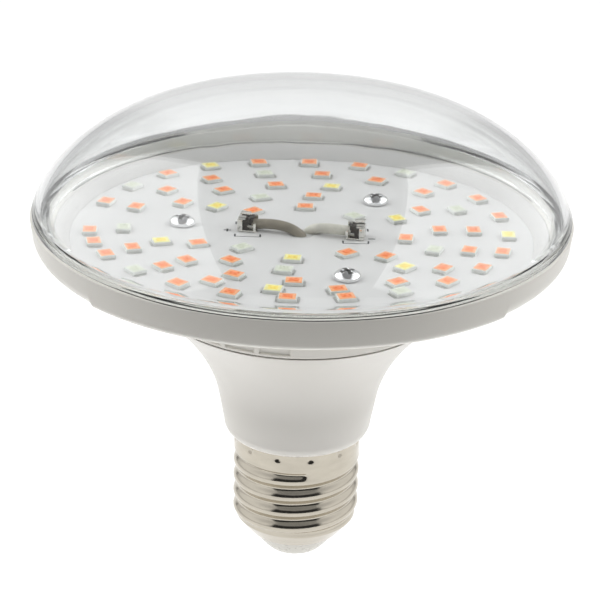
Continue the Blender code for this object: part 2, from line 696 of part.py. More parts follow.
def build_cap():
    """Thin cap shell: a turned sleeve whose wall is pressed into the helix."""
    dimple_z = CAP_HEIGHT - DIMPLE_DROP
    thread_top = CAP_HEIGHT - THREAD_START
    thread_foot = CONE_TOP_Z
    rows = round((thread_top - thread_foot) / THREAD_PITCH * ROWS_PER_PITCH)
    heights = [CAP_HEIGHT - FIT / 2, dimple_z + DIMPLE_ROW, dimple_z,
               dimple_z - DIMPLE_ROW, dimple_z - DIMPLE_ROW * 2]
    heights += spread(thread_top, thread_foot, rows)
    heights += [CONE_FOOT_Z]
    sleeve = [(BAND_RADIUS, z) for z in heights]
    lining = [(BAND_RADIUS - CAP_WALL, z) for z in reversed(heights)]
    obj = place(turned("cap_shell", sleeve + lining, CAP_SEGMENTS), lamp)
    apply_modifiers(obj)
    obj.data.transform(Matrix.Rotation(math.radians(DIMPLE_AZIMUTH - 90), 4, 'Z'))
    for vertex in obj.data.vertices:
        x, y, z = vertex.co
        azimuth = math.degrees(math.atan2(x, -y))
        depth = BAND_RADIUS - math.hypot(x, y)
        vertex.co = polar(cap_surface(azimuth, z) - depth, azimuth, z)
    obj.data.update()
    obj.data.materials.append(material("cap_nickel", (0.78, 0.75, 0.70), 0.18, metallic=1.0))
    return obj


def build_insulator():
    """Hollow insulator cone between the cap's foot and the contact."""
    slack = CAP_WALL + FIT
    top_z = CONE_TOP_Z
    foot_z = CONTACT_THICKNESS + FIT
    rivet_hole = RIVET_RADIUS + FIT
    outer = [(cone_radius(top_z) - slack, top_z),
             (cone_radius(CONE_FOOT_Z) - slack, CONE_FOOT_Z),
             (INSULATOR_WAIST_RADIUS, INSULATOR_WAIST_Z),
             (INSULATOR_FOOT_RADIUS, foot_z)]
    inner = [(rivet_hole, foot_z),
             (rivet_hole, foot_z + INSULATOR_WALL / 2),
             (INSULATOR_FOOT_RADIUS - INSULATOR_WALL, foot_z + INSULATOR_WALL),
             (cone_radius(top_z) - slack - INSULATOR_WALL, top_z)]
    obj = turned("cap_insulator", outer + inner, NECK_SEGMENTS)
    return place(obj, lamp, material("insulator_glass", (0.62, 0.65, 0.62), 0.3))


def build_contact():
    """Contact button with a rounded edge and its rivet."""
    edge = CONTACT_THICKNESS
    profile = [(0.0, edge + RIVET_LENGTH),
               (RIVET_RADIUS, edge + RIVET_LENGTH),
               (RIVET_RADIUS, edge)]
    profile += arc((CONTACT_RADIUS - edge, edge), (edge, edge), 0, -90, CORNER_STEPS)
    profile += [(0.0, 0.0)]
    obj = turned("centre_contact", profile, NECK_SEGMENTS, closed=False)
    return place(obj, lamp, material("contact_tin", (0.62, 0.62, 0.60), 0.35, metallic=1.0))


def build_driver():
    """Upright supply board in the neck, with its parts close to both faces."""
    half = driver_half_width()
    foot = driver_foot()
    face = DRIVER_THICKNESS / 2 + FIT
    middle = Matrix.Translation((0, 0, foot + DRIVER_HEIGHT / 2))
    board = boxes("driver_board", [((half * 2, DRIVER_THICKNESS, DRIVER_HEIGHT), middle)])
    place(board, lamp, material("driver_laminate", (0.55, 0.42, 0.20), 0.5))

    capacitor_foot = foot + DRIVER_HEIGHT - BULK_HEIGHT - RUN_CLEARANCE
    can = rods("smoothing_capacitor", [(Vector((-BULK_OFFSET, face + BULK_RADIUS, 0)), BULK_RADIUS,
                                        capacitor_foot, capacitor_foot + BULK_HEIGHT)])
    place(can, lamp, material("capacitor_sleeve", (0.03, 0.03, 0.035), 0.4))

    choke_centre = Vector((CHOKE_OFFSET, face + CHOKE_RADIUS, foot + DRIVER_HEIGHT / 2))
    drum_top = CHOKE_HEIGHT / 2
    waist_top = drum_top - CHOKE_FLANGE
    drum = [(0.0, drum_top), (CHOKE_RADIUS, drum_top), (CHOKE_RADIUS, waist_top),
            (CHOKE_WAIST, waist_top), (CHOKE_WAIST, -waist_top),
            (CHOKE_RADIUS, -waist_top), (CHOKE_RADIUS, -drum_top), (0.0, -drum_top)]
    core = turned("choke_core", drum, SMALL_SEGMENTS, closed=False)
    core.location = choke_centre
    place(core, lamp, material("ferrite", (0.06, 0.06, 0.065), 0.6))
    coil_top = waist_top - FIT
    coil = [(WINDING_RADIUS, coil_top), (WINDING_RADIUS, -coil_top),
            (CHOKE_WAIST + FIT, -coil_top), (CHOKE_WAIST + FIT, coil_top)]
    winding = turned("choke_winding", coil, SMALL_SEGMENTS)
    winding.location = choke_centre
    place(winding, lamp, material("copper_winding", (0.62, 0.28, 0.12), 0.3, metallic=1.0))

    film_box = material("film_box", (0.55, 0.09, 0.05), 0.45)
    moulded_black = material("moulded_black", (0.03, 0.03, 0.03), 0.45)
    flat_parts = [
        ("film_capacitor", FILM_CAPACITOR_SIZE, FILM_CAPACITOR_PLACE, film_box),
        ("bridge_rectifier", BRIDGE_SIZE, BRIDGE_PLACE, moulded_black),
        ("driver_chip", CHIP_SIZE, CHIP_PLACE, moulded_black),
    ]
    for name, size, (across, up), mat in flat_parts:
        seat = Matrix.Translation((half * across, -face - size[1] / 2, foot + DRIVER_HEIGHT * up))
        place(boxes(name, [(size, seat)]), lamp, mat)


def build_supply_wires():
    """Wires from the driver board to the contact and to the cap."""
    top = driver_foot() - FIT
    insulation = material("supply_insulation", (0.75, 0.74, 0.70), 0.5)
    live_foot = CONTACT_THICKNESS + RIVET_LENGTH + FIT
    live = [Vector((0, 0, z)) for z in spread(top, live_foot, 4)]
    wire("live_wire", live, SUPPLY_WIRE_RADIUS, insulation)
    bore = CAP_SPIGOT_RADIUS - CAP_SPIGOT_WALL
    reach = bore - SUPPLY_WIRE_RADIUS - FIT
    turn_z = CAP_SPIGOT_FOOT_Z - SUPPLY_WIRE_RADIUS - FIT
    inner = Vector((reach, 0, CAP_SPIGOT_FOOT_Z))
    touch_radius = cap_inner(turn_z) - FIT
    touch = Vector((touch_radius, 0, turn_z))
    path = [Vector((reach, 0, z)) for z in spread(top, CAP_SPIGOT_FOOT_Z, 3)]
    path += bezier(inner, Vector((reach, 0, turn_z)), Vector((reach, 0, turn_z)), touch, CORNER_STEPS + 2)
    wire("neutral_wire", path, SUPPLY_WIRE_RADIUS, insulation)


def cap_inner(z):
    """Smallest inner radius of the cap round one height."""
    return min(cap_surface(azimuth, z) for azimuth in range(0, 360, 5)) - CAP_WALL


for old in list(bpy.data.objects):
    bpy.data.objects.remove(old, do_unlink=True)

lamp = bpy.data.collections.new("grow_light_bulb")
cutters = bpy.data.collections.new("cutters")
bpy.context.scene.collection.children.link(lamp)
bpy.context.scene.collection.children.link(cutters)
white_plastic = material("white_plastic", (0.72, 0.70, 0.67), 0.45)
terminal_metal = material("terminal_metal", (0.55, 0.53, 0.48), 0.3, metallic=1.0)

build_cover()
build_housing()
build_dish()
build_board()
build_screws()
for terminal_side in TERMINAL_AZIMUTHS:
    build_terminal(terminal_side, terminal_metal)
build_lead("left", (0.19, 0.16, 0.12))
build_lead("right", (0.50, 0.48, 0.41))
build_neck()
build_cap()
build_insulator()
build_contact()
build_driver()
build_supply_wires()
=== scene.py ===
"""Looks of the mushroom-shaped LED plant lamp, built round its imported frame.

The axis of the lamp is Z and the dome points up. Azimuths are in degrees: 0
is -Y, toward the camera, and they grow toward +X. All lengths are in metres.
"""
import math

import bmesh
import bpy
from mathutils import Matrix, Vector


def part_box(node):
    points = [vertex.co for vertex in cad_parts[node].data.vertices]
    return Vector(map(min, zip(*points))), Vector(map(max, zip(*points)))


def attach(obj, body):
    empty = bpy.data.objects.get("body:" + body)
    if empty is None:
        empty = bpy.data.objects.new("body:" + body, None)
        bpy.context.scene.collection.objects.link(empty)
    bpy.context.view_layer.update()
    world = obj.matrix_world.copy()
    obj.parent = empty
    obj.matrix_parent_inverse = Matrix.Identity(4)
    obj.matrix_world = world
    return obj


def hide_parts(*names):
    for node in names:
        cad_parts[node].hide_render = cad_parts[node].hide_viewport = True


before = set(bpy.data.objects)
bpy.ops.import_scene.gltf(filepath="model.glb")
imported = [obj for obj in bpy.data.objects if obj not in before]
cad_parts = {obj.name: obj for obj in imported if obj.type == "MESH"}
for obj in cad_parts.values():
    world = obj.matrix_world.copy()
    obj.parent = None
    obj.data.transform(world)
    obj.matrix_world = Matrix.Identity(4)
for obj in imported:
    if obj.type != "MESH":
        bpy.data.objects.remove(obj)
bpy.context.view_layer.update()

MM = 0.001


def foot_of(node):
    """Lowest height of a CAD node."""
    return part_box(node)[0].z


def top_of(node):
    """Greatest height of a CAD node."""
    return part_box(node)[1].z


# Heights and radii that the frame gives
HALF_GAP = 0.15 * MM
JOINT_Z = top_of("lamp_housing") + HALF_GAP
SEAM_Z = foot_of("lamp_housing") - HALF_GAP
CAP_TOP_Z = top_of("cap_shell") + HALF_GAP
CAP_FOOT_Z = foot_of("cap_shell")
APEX_Z = top_of("clear_cover")
BOARD_FOOT_Z = foot_of("led_board")
SPIGOT_TOP_Z = top_of("neck_housing")
SPIGOT_FOOT_Z = foot_of("neck_housing")
RIM_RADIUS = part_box("lamp_housing")[1].x
BOARD_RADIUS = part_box("led_board")[1].x

# Clear cover
SKIRT_HEIGHT = 1.0 * MM
SKIRT_RADIUS = RIM_RADIUS - 0.3 * MM
DOME_RADIUS = SKIRT_RADIUS - 0.1 * MM
DOME_BASE_Z = JOINT_Z + SKIRT_HEIGHT
DOME_OUT_POWER = 3.21
DOME_UP_POWER = 1.307
COVER_WALL = 2.0 * MM
COVER_ROWS = 72
LIP_RADIUS = SKIRT_RADIUS - 2.6 * MM
LIP_WALL = 1.4 * MM
LIP_DEPTH = 2.6 * MM

# Housing
RIM_FOOT_Z = JOINT_Z - 6.9 * MM
COLLAR_TOP_Z = SEAM_Z + 5.0 * MM
SEAM_RADIUS = 29.1 * MM
COLLAR_FLARE = 1.2 * MM
RIM_SHOULDER = 0.3 * MM
RIM_TAPER = 0.113
RIM_CORNER = 4.0 * MM
RIM_FOOT_WIDTH = 0.95 * MM
BOARD_THICKNESS = 1.0 * MM
# Radius of the dark ring of painted shade in the joint at the neck's foot
NECK_PAINTED_SHADE_RADIUS = 13.1 * MM
RING_FOOT_RADIUS = 46.0 * MM
# Dark ring of painted shade in the channel under the cover's lip: thin at the front, thicker toward the rear,
# swelling at a few azimuths
LIP_PAINTED_SHADE_SWELLS = ((155.0, 18.0), (252.0, 9.0), (108.0, 7.0))
LIP_PAINTED_SHADE_RISE = (95.0, 120.0)
LIP_PAINTED_SHADE_LOW = 0.04
LIP_PAINTED_SHADE_GAIN = 0.28
LIP_PAINTED_SHADE_SWELL = 0.6
LIP_PAINTED_SHADE_WIDTH = 0.4 * MM
LIP_PAINTED_SHADE_SUNK = 0.4 * MM
# Dark line of painted shadow just under the rim's top edge, shown at the front and sunk inside further round
RIM_PAINTED_SHADE_HEIGHT = 0.42 * MM
RIM_PAINTED_SHADE_FADE = (24.0, 46.0)
RIM_PAINTED_SHADE_SUNK = 0.5 * MM
HOLE_RADIUS = 2.45 * MM
PLUG_RADIUS = 2.4 * MM
BOARD_TOP_Z = BOARD_FOOT_Z + BOARD_THICKNESS
LEDGE_Z = BOARD_FOOT_Z - 0.3 * MM
CHANNEL_Z = JOINT_Z - 2.75 * MM
PAD_SWEEP = 93.0
PAD_MIDDLES = (-0.5, 179.5)
PAD_CORNER = 1.4 * MM
PAD_DROP = 0.5 * MM
PAD_RUN = 0.5
PANE_PITCH = 14.0
PANE_FIRST = -37.0
PANE_GROUP = 90.0
PANES = 3
PANE_HALF_WIDTH = 6.1
PANE_SILL = 0.75 * MM
PANE_HEIGHT = 2.4 * MM
PANE_DEPTH = 0.32 * MM
PANE_BEVEL = 0.3 * MM

# Neck
NECK_RADIUS = 15.18 * MM
NECK_WALL = 1.8 * MM
NECK_DRAFT = 0.184
NECK_CORNER = 2.8 * MM
NECK_FOOT_TUCK = 1.95 * MM
FLARE_HEIGHT = 20.28 * MM
FLARE_POWER = 1.984

# Screw cap
THREAD_CREST = 13.1 * MM
THREAD_DEPTH = 0.9 * MM
THREAD_ROOT = THREAD_CREST - THREAD_DEPTH
THREAD_PITCH = 3.629 * MM
THREAD_FIRST_CREST = 6.16 * MM
THREAD_START = 3.85 * MM
THREAD_FULLNESS = 0.75
THREAD_RUN_IN = 1.1 * MM
THREAD_RUN_OUT = 1.65 * MM
BAND_RADIUS = 13.05 * MM
CAP_WALL = 0.3 * MM
CONE_TOP_Z = 8.7 * MM
CONE_TOP_RADIUS = 12.5 * MM
CONE_FOOT_RADIUS = 9.8 * MM
DIMPLE_COUNT = 12
DIMPLE_AZIMUTH = -16.8
DIMPLE_DROP = 0.95 * MM
DIMPLE_DEPTH = 0.4 * MM
DIMPLE_RADIUS = 1.25 * MM
GROOVE_END = 9.0
GROOVE_FADE = 4.0

# Packages on the board
PACKAGE_LENGTH = 3.5 * MM
PACKAGE_WIDTH = 3.0 * MM
PACKAGE_HEIGHT = 0.72 * MM
WINDOW_MARGIN = 0.2 * MM
DISH_SHARE = 0.62
PAD_REACH = 0.5 * MM

# Segments round a full turn
DISC_STEPS = 256
RIM_STEPS = 720
NECK_STEPS = 128
CAP_STEPS = 180


def polar(radius, azimuth, z=0.0):
    """A point from its distance to the axis and its azimuth in degrees."""
    angle = math.radians(azimuth)
    return Vector((radius * math.sin(angle), -radius * math.cos(angle), z))


def smoothstep(low, high, value):
    """0 below the low value, 1 above the high one, with a smooth run between."""
    t = min(max((value - low) / (high - low), 0.0), 1.0)
    return t * t * (3 - 2 * t)


def spread(start, end, count):
    """Evenly spaced values from start to end, both included."""
    return [start + (end - start) * step / count for step in range(count + 1)]


def arc(centre, radii, start, end, steps):
    """Points of an elliptical arc in the profile plane, both ends included."""
    points = []
    for angle in spread(math.radians(start), math.radians(end), steps):
        points.append((centre[0] + radii[0] * math.cos(angle), centre[1] + radii[1] * math.sin(angle)))
    return points


def evenly(points, count):
    """A run of profile points spaced evenly along its length."""
    lengths = [0.0]
    for first, second in zip(points, points[1:]):
        lengths.append(lengths[-1] + math.dist(first, second))
    placed = []
    index = 0
    for reach in spread(0.0, lengths[-1], count):
        while index < len(points) - 2 and lengths[index + 1] < reach:
            index += 1
        share = (reach - lengths[index]) / (lengths[index + 1] - lengths[index])
        placed.append(tuple(Vector(points[index]).lerp(Vector(points[index + 1]), min(share, 1.0))))
    return placed


def inset(points, distance):
    """The same run of profile points moved inward along its normals."""
    moved = []
    for index, (radius, height) in enumerate(points):
        before = points[max(index - 1, 0)]
        after = points[min(index + 1, len(points) - 1)]
        run = Vector((after[0] - before[0], after[1] - before[1])).normalized()
        moved.append((radius + run.y * distance, height - run.x * distance))
    return moved


def eased(points, radius, steps=3):
    """A closed run of profile points with each sharp corner rounded."""
    rounded = []
    for index, point in enumerate(points):
        corner = Vector(point)
        before = Vector(points[index - 1]) - corner
        after = Vector(points[(index + 1) % len(points)]) - corner
        turn = before.angle(after)
        if turn > math.radians(160):
            rounded.append(point)
            continue
        reach = min(radius, before.length * 0.45, after.length * 0.45)
        start = corner + before.normalized() * reach
        end = corner + after.normalized() * reach
        for share in spread(0, 1, steps):
            near = start.lerp(corner, share)
            far = corner.lerp(end, share)
            rounded.append(tuple(near.lerp(far, share)))
    return rounded


def mesh_object(name, verts, faces, sharp=32.0):
    """An object from vertices and faces, smooth but for its sharp edges."""
    mesh = bpy.data.meshes.new(name)
    mesh.from_pydata(verts, [], faces)
    bm = bmesh.new()
    bm.from_mesh(mesh)
    bmesh.ops.recalc_face_normals(bm, faces=bm.faces)
    return from_bmesh(bm, name, mesh, sharp)


def from_bmesh(bm, name, mesh=None, sharp=32.0):
    """An object from a bmesh, smooth but for its sharp edges."""
    mesh = mesh or bpy.data.meshes.new(name)
    bm.to_mesh(mesh)
    bm.free()
    mesh.shade_smooth()
    mesh.set_sharp_from_angle(angle=math.radians(sharp))
    obj = bpy.data.objects.new(name, mesh)
    bpy.context.scene.collection.objects.link(obj)
    return obj


def lathe(name, profile, segments, closed=True, shape=None, sharp=32.0):
    """A turned solid; shape(azimuth, index, radius, height) may press each point."""
    verts = []
    rings = []
    for index, (radius, height) in enumerate(profile):
        if radius < 1e-7:
            rings.append([len(verts)])
            verts.append((0.0, 0.0, height))
            continue
        ring = []
        for step in range(segments):
            azimuth = 360 * step / segments
            r, z = shape(azimuth, index, radius, height) if shape else (radius, height)
            ring.append(len(verts))
            verts.append(polar(r, azimuth, z))
        rings.append(ring)
    pairs = list(zip(rings, rings[1:]))
    if closed:
        pairs.append((rings[-1], rings[0]))
    faces = []
    for upper, lower in pairs:
        for step in range(segments):
            after = step + 1
            loop = [upper[step % len(upper)], upper[after % len(upper)],
                    lower[after % len(lower)], lower[step % len(lower)]]
            faces.append(list(dict.fromkeys(loop)))
    return mesh_object(name, verts, faces, sharp)


def tube(name, path, radius, sides=20):
    """A round wire along a list of points, closed at both ends."""
    curve = bpy.data.curves.new(name, 'CURVE')
    curve.dimensions = '3D'
    curve.bevel_depth = radius
    curve.bevel_resolution = sides // 4
    curve.use_fill_caps = True
    spline = curve.splines.new('POLY')
    spline.points.add(len(path) - 1)
    for target, point in zip(spline.points, path):
        target.co = (*point, 1.0)
    scratch = bpy.data.objects.new(name, curve)
    mesh = bpy.data.meshes.new_from_object(scratch)
    bpy.data.objects.remove(scratch)
    bpy.data.curves.remove(curve)
    mesh.shade_smooth()
    obj = bpy.data.objects.new(name, mesh)
    bpy.context.scene.collection.objects.link(obj)
    return obj


def add_box(bm, size, matrix, ease=0.0):
    """Add an eased box to a bmesh."""
    made = bmesh.ops.create_cube(bm, size=1.0, matrix=matrix @ Matrix.Diagonal((*size, 1.0)))
    if ease:
        edges = list(dict.fromkeys(edge for vert in made["verts"] for edge in vert.link_edges))
        bmesh.ops.bevel(bm, geom=edges, offset=ease, segments=2, profile=0.6, affect='EDGES')


class Look:
    """A Principled material with a few procedural nodes wired to it."""

    def __init__(self, name, colour, roughness, metallic=0.0):
        self.material = bpy.data.materials.new(name)
        self.material.use_nodes = True
        self.tree = self.material.node_tree
        self.shader = self.tree.nodes["Principled BSDF"]
        self.output = self.tree.nodes["Material Output"]
        self.coordinates = self.tree.nodes.new('ShaderNodeTexCoord')
        self.colour = (*colour, 1.0)
        self.shader.inputs["Base Color"].default_value = self.colour
        self.shader.inputs["Roughness"].default_value = roughness
        self.shader.inputs["Metallic"].default_value = metallic
        self.roughness = roughness
        self.normal = None
        self.material.diffuse_color = self.colour

    def link(self, source, target):
        self.tree.links.new(source, target)

    def noise(self, scale, detail=3.0, stretch=(1.0, 1.0, 1.0)):
        """Noise in the object's own coordinates; scale is in cells per metre."""
        mapping = self.tree.nodes.new('ShaderNodeMapping')
        mapping.inputs["Scale"].default_value = stretch
        self.link(self.coordinates.outputs["Object"], mapping.inputs["Vector"])
        texture = self.tree.nodes.new('ShaderNodeTexNoise')
        texture.inputs["Scale"].default_value = scale
        texture.inputs["Detail"].default_value = detail
        self.link(mapping.outputs["Vector"], texture.inputs["Vector"])
        return texture.outputs["Fac"]

    def ranged(self, source, low, high, from_low=0.3, from_high=0.7):
        """A value moved from one range to another."""
        node = self.tree.nodes.new('ShaderNodeMapRange')
        node.inputs["From Min"].default_value = from_low
        node.inputs["From Max"].default_value = from_high
        node.inputs["To Min"].default_value = low
        node.inputs["To Max"].default_value = high
        self.link(source, node.inputs["Value"])
        return node.outputs["Result"]

    def mottle(self, amount, scale, stretch=(1.0, 1.0, 1.0)):
        """Let the colour drift a little about its middle value."""
        mix = self.tree.nodes.new('ShaderNodeMix')
        mix.data_type = 'RGBA'
        darker = [channel * (1 - amount) for channel in self.colour[:3]]
        lighter = [min(channel * (1 + amount), 1.0) for channel in self.colour[:3]]
        mix.inputs["A"].default_value = (*darker, 1.0)
        mix.inputs["B"].default_value = (*lighter, 1.0)
        share = self.ranged(self.noise(scale, stretch=stretch), 0.0, 1.0)
        self.link(share, mix.inputs["Factor"])
        self.link(mix.outputs["Result"], self.shader.inputs["Base Color"])
        return self

    def scuff(self, amount, scale, stretch=(1.0, 1.0, 1.0)):
        """Let the roughness drift about its middle value."""
        low = max(self.roughness - amount, 0.0)
        value = self.ranged(self.noise(scale, stretch=stretch), low, self.roughness + amount)
        self.link(value, self.shader.inputs["Roughness"])
        return self

    def grain(self, depth, scale, stretch=(1.0, 1.0, 1.0)):
        """Raise fine bumps of the given depth in metres."""
        bump = self.tree.nodes.new('ShaderNodeBump')
        bump.inputs["Strength"].default_value = 1.0
        bump.inputs["Distance"].default_value = depth
        self.link(self.noise(scale, detail=2.0, stretch=stretch), bump.inputs["Height"])
        if self.normal is not None:
            self.link(self.normal, bump.inputs["Normal"])
        self.normal = bump.outputs["Normal"]
        self.link(self.normal, self.shader.inputs["Normal"])
        return self

    def set(self, **values):
        """Set uniform values on the shader's own sockets."""
        for name, value in values.items():
            self.shader.inputs[name.replace("_", " ")].default_value = value
        return self


def clear_look():
    """Clear moulded plastic that lets light through to what it covers."""
    look = Look("clear_plastic", (0.97, 0.98, 0.98), 0.02)
    look.set(Transmission_Weight=1.0, IOR=1.49)
    look.scuff(0.012, 90.0)
    look.grain(0.02 * MM, 60.0)
    paths = look.tree.nodes.new('ShaderNodeLightPath')
    soft = look.tree.nodes.new('ShaderNodeMath')
    soft.operation = 'MAXIMUM'
    look.link(paths.outputs["Is Shadow Ray"], soft.inputs[0])
    look.link(paths.outputs["Is Diffuse Ray"], soft.inputs[1])
    open_way = look.tree.nodes.new('ShaderNodeBsdfTransparent')
    open_way.inputs["Color"].default_value = (0.93, 0.94, 0.94, 1.0)
    mix = look.tree.nodes.new('ShaderNodeMixShader')
    look.link(soft.outputs[0], mix.inputs["Fac"])
    look.link(look.shader.outputs["BSDF"], mix.inputs[1])
    look.link(open_way.outputs["BSDF"], mix.inputs[2])
    look.link(mix.outputs["Shader"], look.output.inputs["Surface"])
    return look.material


def dress(obj, material, slot, *nodes):
    """Give a piece its material, let it ride and stand for its nodes."""
    obj.data.materials.clear()
    obj.data.materials.append(material)
    ride(obj, slot, *nodes)
    return obj


def ride(obj, slot, *nodes):
    """Let a piece with its materials ride on the lamp and stand for its nodes."""
    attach(obj, "root")
    if nodes:
        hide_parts(*nodes)


def build_cover():
    """Clear dome with its stepped skirt and the lip inside the housing."""
    height = APEX_Z - DOME_BASE_Z
    outline = []
    for angle in spread(math.pi / 2, 0.0, COVER_ROWS * 6):
        radius = DOME_RADIUS * max(math.cos(angle), 0.0) ** (2 / DOME_OUT_POWER)
        outline.append((radius, DOME_BASE_Z + height * math.sin(angle) ** (2 / DOME_UP_POWER)))
    outline[0] = (0.0, APEX_Z)
    dome = evenly(outline, COVER_ROWS)
    shoulder_z = JOINT_Z + HALF_GAP
    inner = inset(dome, COVER_WALL)
    inner[0] = (0.0, APEX_Z - COVER_WALL)
    inner[-1] = (DOME_RADIUS - COVER_WALL, DOME_BASE_Z)
    step_radii = (SKIRT_RADIUS - DOME_RADIUS, DOME_BASE_Z - shoulder_z)
    step_arc = arc((DOME_RADIUS, shoulder_z), step_radii, 90, 0, 8)
    lip_foot = shoulder_z - LIP_DEPTH
    lip_inner = LIP_RADIUS - LIP_WALL
    ease = 0.25 * MM
    lip = [(LIP_RADIUS, shoulder_z), (LIP_RADIUS, lip_foot + ease), (LIP_RADIUS - ease, lip_foot),
           (lip_inner + ease, lip_foot), (lip_inner, lip_foot + ease), (lip_inner, shoulder_z)]
    profile = dome + step_arc[1:] + lip + inner[::-1]
    cover = lathe("cover_dome", profile, DISC_STEPS, closed=False, sharp=40.0)
    return dress(cover, clear_look(), "clear_plastic", "clear_cover")


def rim_corner():
    """Centre of the large round at the foot of the rim."""
    drop = JOINT_Z - RIM_FOOT_Z - RIM_SHOULDER - RIM_CORNER
    return Vector((RIM_RADIUS - RIM_TAPER * drop - RIM_CORNER, RIM_FOOT_Z + RIM_CORNER))


def pad_share(azimuth):
    """1 on the two fuller stretches of the rim, 0 off them."""
    share = 0.0
    for middle in PAD_MIDDLES:
        offset = abs((azimuth - middle + 180) % 360 - 180)
        share = max(share, 1 - smoothstep(PAD_SWEEP / 2 - PAD_RUN, PAD_SWEEP / 2 + PAD_RUN, offset))
    return share


def pane_share(azimuth, z):
    """How deep the collar's panes are at a place, from 0 to 1."""
    share = 0.0
    local = (azimuth - PANE_FIRST + PANE_PITCH / 2) % PANE_GROUP
    if local < PANE_PITCH * PANES:
        offset = abs(local % PANE_PITCH - PANE_PITCH / 2)
        bevel = math.degrees(PANE_BEVEL / SEAM_RADIUS)
        share = 1 - smoothstep(PANE_HALF_WIDTH - bevel, PANE_HALF_WIDTH, offset)
    foot = SEAM_Z + PANE_SILL
    up = smoothstep(foot, foot + PANE_BEVEL, z)
    down = 1 - smoothstep(foot + PANE_HEIGHT - PANE_BEVEL, foot + PANE_HEIGHT, z)
    return share * up * down


def build_housing(material):
    """Disc housing with its rim, corner pads, collar panes and inner ledge."""
    top_z = JOINT_Z - HALF_GAP
    channel = LIP_RADIUS + 0.3 * MM
    corner = rim_corner()
    steps = 10
    outside = [(channel + 0.25 * MM, top_z)]
    outside += arc((RIM_RADIUS - RIM_SHOULDER, top_z - RIM_SHOULDER), (RIM_SHOULDER, RIM_SHOULDER), 90, 0, 6)
    round_start = len(outside)
    outside += arc(corner, (RIM_CORNER, RIM_CORNER), 0, -90, steps)
    round_end = len(outside)
    foot_inner = corner.x - RIM_FOOT_WIDTH
    outside += [(foot_inner + 0.2 * MM, RIM_FOOT_Z), (foot_inner, RIM_FOOT_Z + 0.2 * MM)]
    for share in (0.35, 0.7, 1.0):
        outside.append((foot_inner + (SEAM_RADIUS + COLLAR_FLARE + 0.4 * MM - foot_inner) * share,
                        RIM_FOOT_Z + 0.2 * MM + (COLLAR_TOP_Z - RIM_FOOT_Z - 0.2 * MM) * share))
    rows = 40
    for share in spread(0, 1, rows):
        z = COLLAR_TOP_Z - 0.3 * MM + (SEAM_Z + HALF_GAP + 0.2 * MM - COLLAR_TOP_Z + 0.3 * MM) * share
        outside.append((SEAM_RADIUS + COLLAR_FLARE * (z - SEAM_Z) / (COLLAR_TOP_Z - SEAM_Z), z))
    outside.append((SEAM_RADIUS - 0.2 * MM, SEAM_Z + HALF_GAP))
    bore = SEAM_RADIUS - 1.35 * MM
    seat = BOARD_RADIUS + 0.3 * MM
    inside = [(bore, SEAM_Z + HALF_GAP),
              (bore + 0.3 * MM, COLLAR_TOP_Z + 1.2 * MM),
              (BOARD_RADIUS - 3.0 * MM, LEDGE_Z),
              (seat, LEDGE_Z),
              (seat, CHANNEL_Z),
              (channel, CHANNEL_Z),
              (channel, top_z - 0.25 * MM)]
    pad_round = arc((corner.x + RIM_CORNER - PAD_CORNER - 0.25 * MM, RIM_FOOT_Z + PAD_DROP + PAD_CORNER),
                    (PAD_CORNER, PAD_CORNER), 0, -90, steps - 1)
    pad_round.append((corner.x, RIM_FOOT_Z))

    def press(azimuth, index, radius, z):
        if round_start <= index < round_end:
            share = pad_share(azimuth)
            full = pad_round[index - round_start]
            radius += (full[0] - radius) * share
            z += (full[1] - z) * share
        if round_end <= index < len(outside):
            radius -= PANE_DEPTH * pane_share(azimuth, z)
        return radius, z

    housing = lathe("lamp_housing_shell", outside + inside, RIM_STEPS, shape=press)
    return dress(housing, material, "white_plastic", "lamp_housing")


def neck_radius(z):
    """Outer radius of the neck: a drafted tube that flares to the seam."""
    foot = CAP_TOP_Z + NECK_CORNER
    drafted = NECK_RADIUS + NECK_DRAFT * (z - foot)
    flare = SEAM_RADIUS - NECK_RADIUS - NECK_DRAFT * (SEAM_Z - foot)
    rise = max(z - (SEAM_Z - FLARE_HEIGHT), 0.0) / FLARE_HEIGHT
    return drafted + flare * rise ** FLARE_POWER


def build_neck(material):
    """Trumpet-shaped neck with a spigot at each end."""
    heights = spread(SEAM_Z - HALF_GAP - 0.15 * MM, CAP_TOP_Z + NECK_CORNER, 48)
    run = [(neck_radius(z), z) for z in heights]
    tuck = NECK_RADIUS - NECK_FOOT_TUCK
    foot = arc((tuck, CAP_TOP_Z + HALF_GAP + NECK_CORNER), (NECK_FOOT_TUCK, NECK_CORNER), 0, -90, 8)
    spigot = THREAD_ROOT - CAP_WALL - 0.3 * MM
    collar_spigot = SEAM_RADIUS - 1.65 * MM
    inner = [point for point in inset(run, NECK_WALL) if point[0] < collar_spigot - NECK_WALL]
    profile = [(collar_spigot, SPIGOT_TOP_Z), (collar_spigot, SEAM_Z - HALF_GAP),
               (neck_radius(SEAM_Z) - 0.3 * MM, SEAM_Z - HALF_GAP)]
    profile += run + foot[1:]
    profile += [(spigot, CAP_TOP_Z + HALF_GAP), (spigot, SPIGOT_FOOT_Z), (spigot - 1.5 * MM, SPIGOT_FOOT_Z),
                (spigot - 1.5 * MM, CAP_TOP_Z + NECK_CORNER)]
    profile += inner[::-1]
    profile += [(collar_spigot - 1.5 * MM, inner[0][1] + 0.75 * MM), (collar_spigot - 1.5 * MM, SPIGOT_TOP_Z)]
    neck = lathe("neck_shell", profile, NECK_STEPS)
    return dress(neck, material, "white_plastic", "neck_housing")


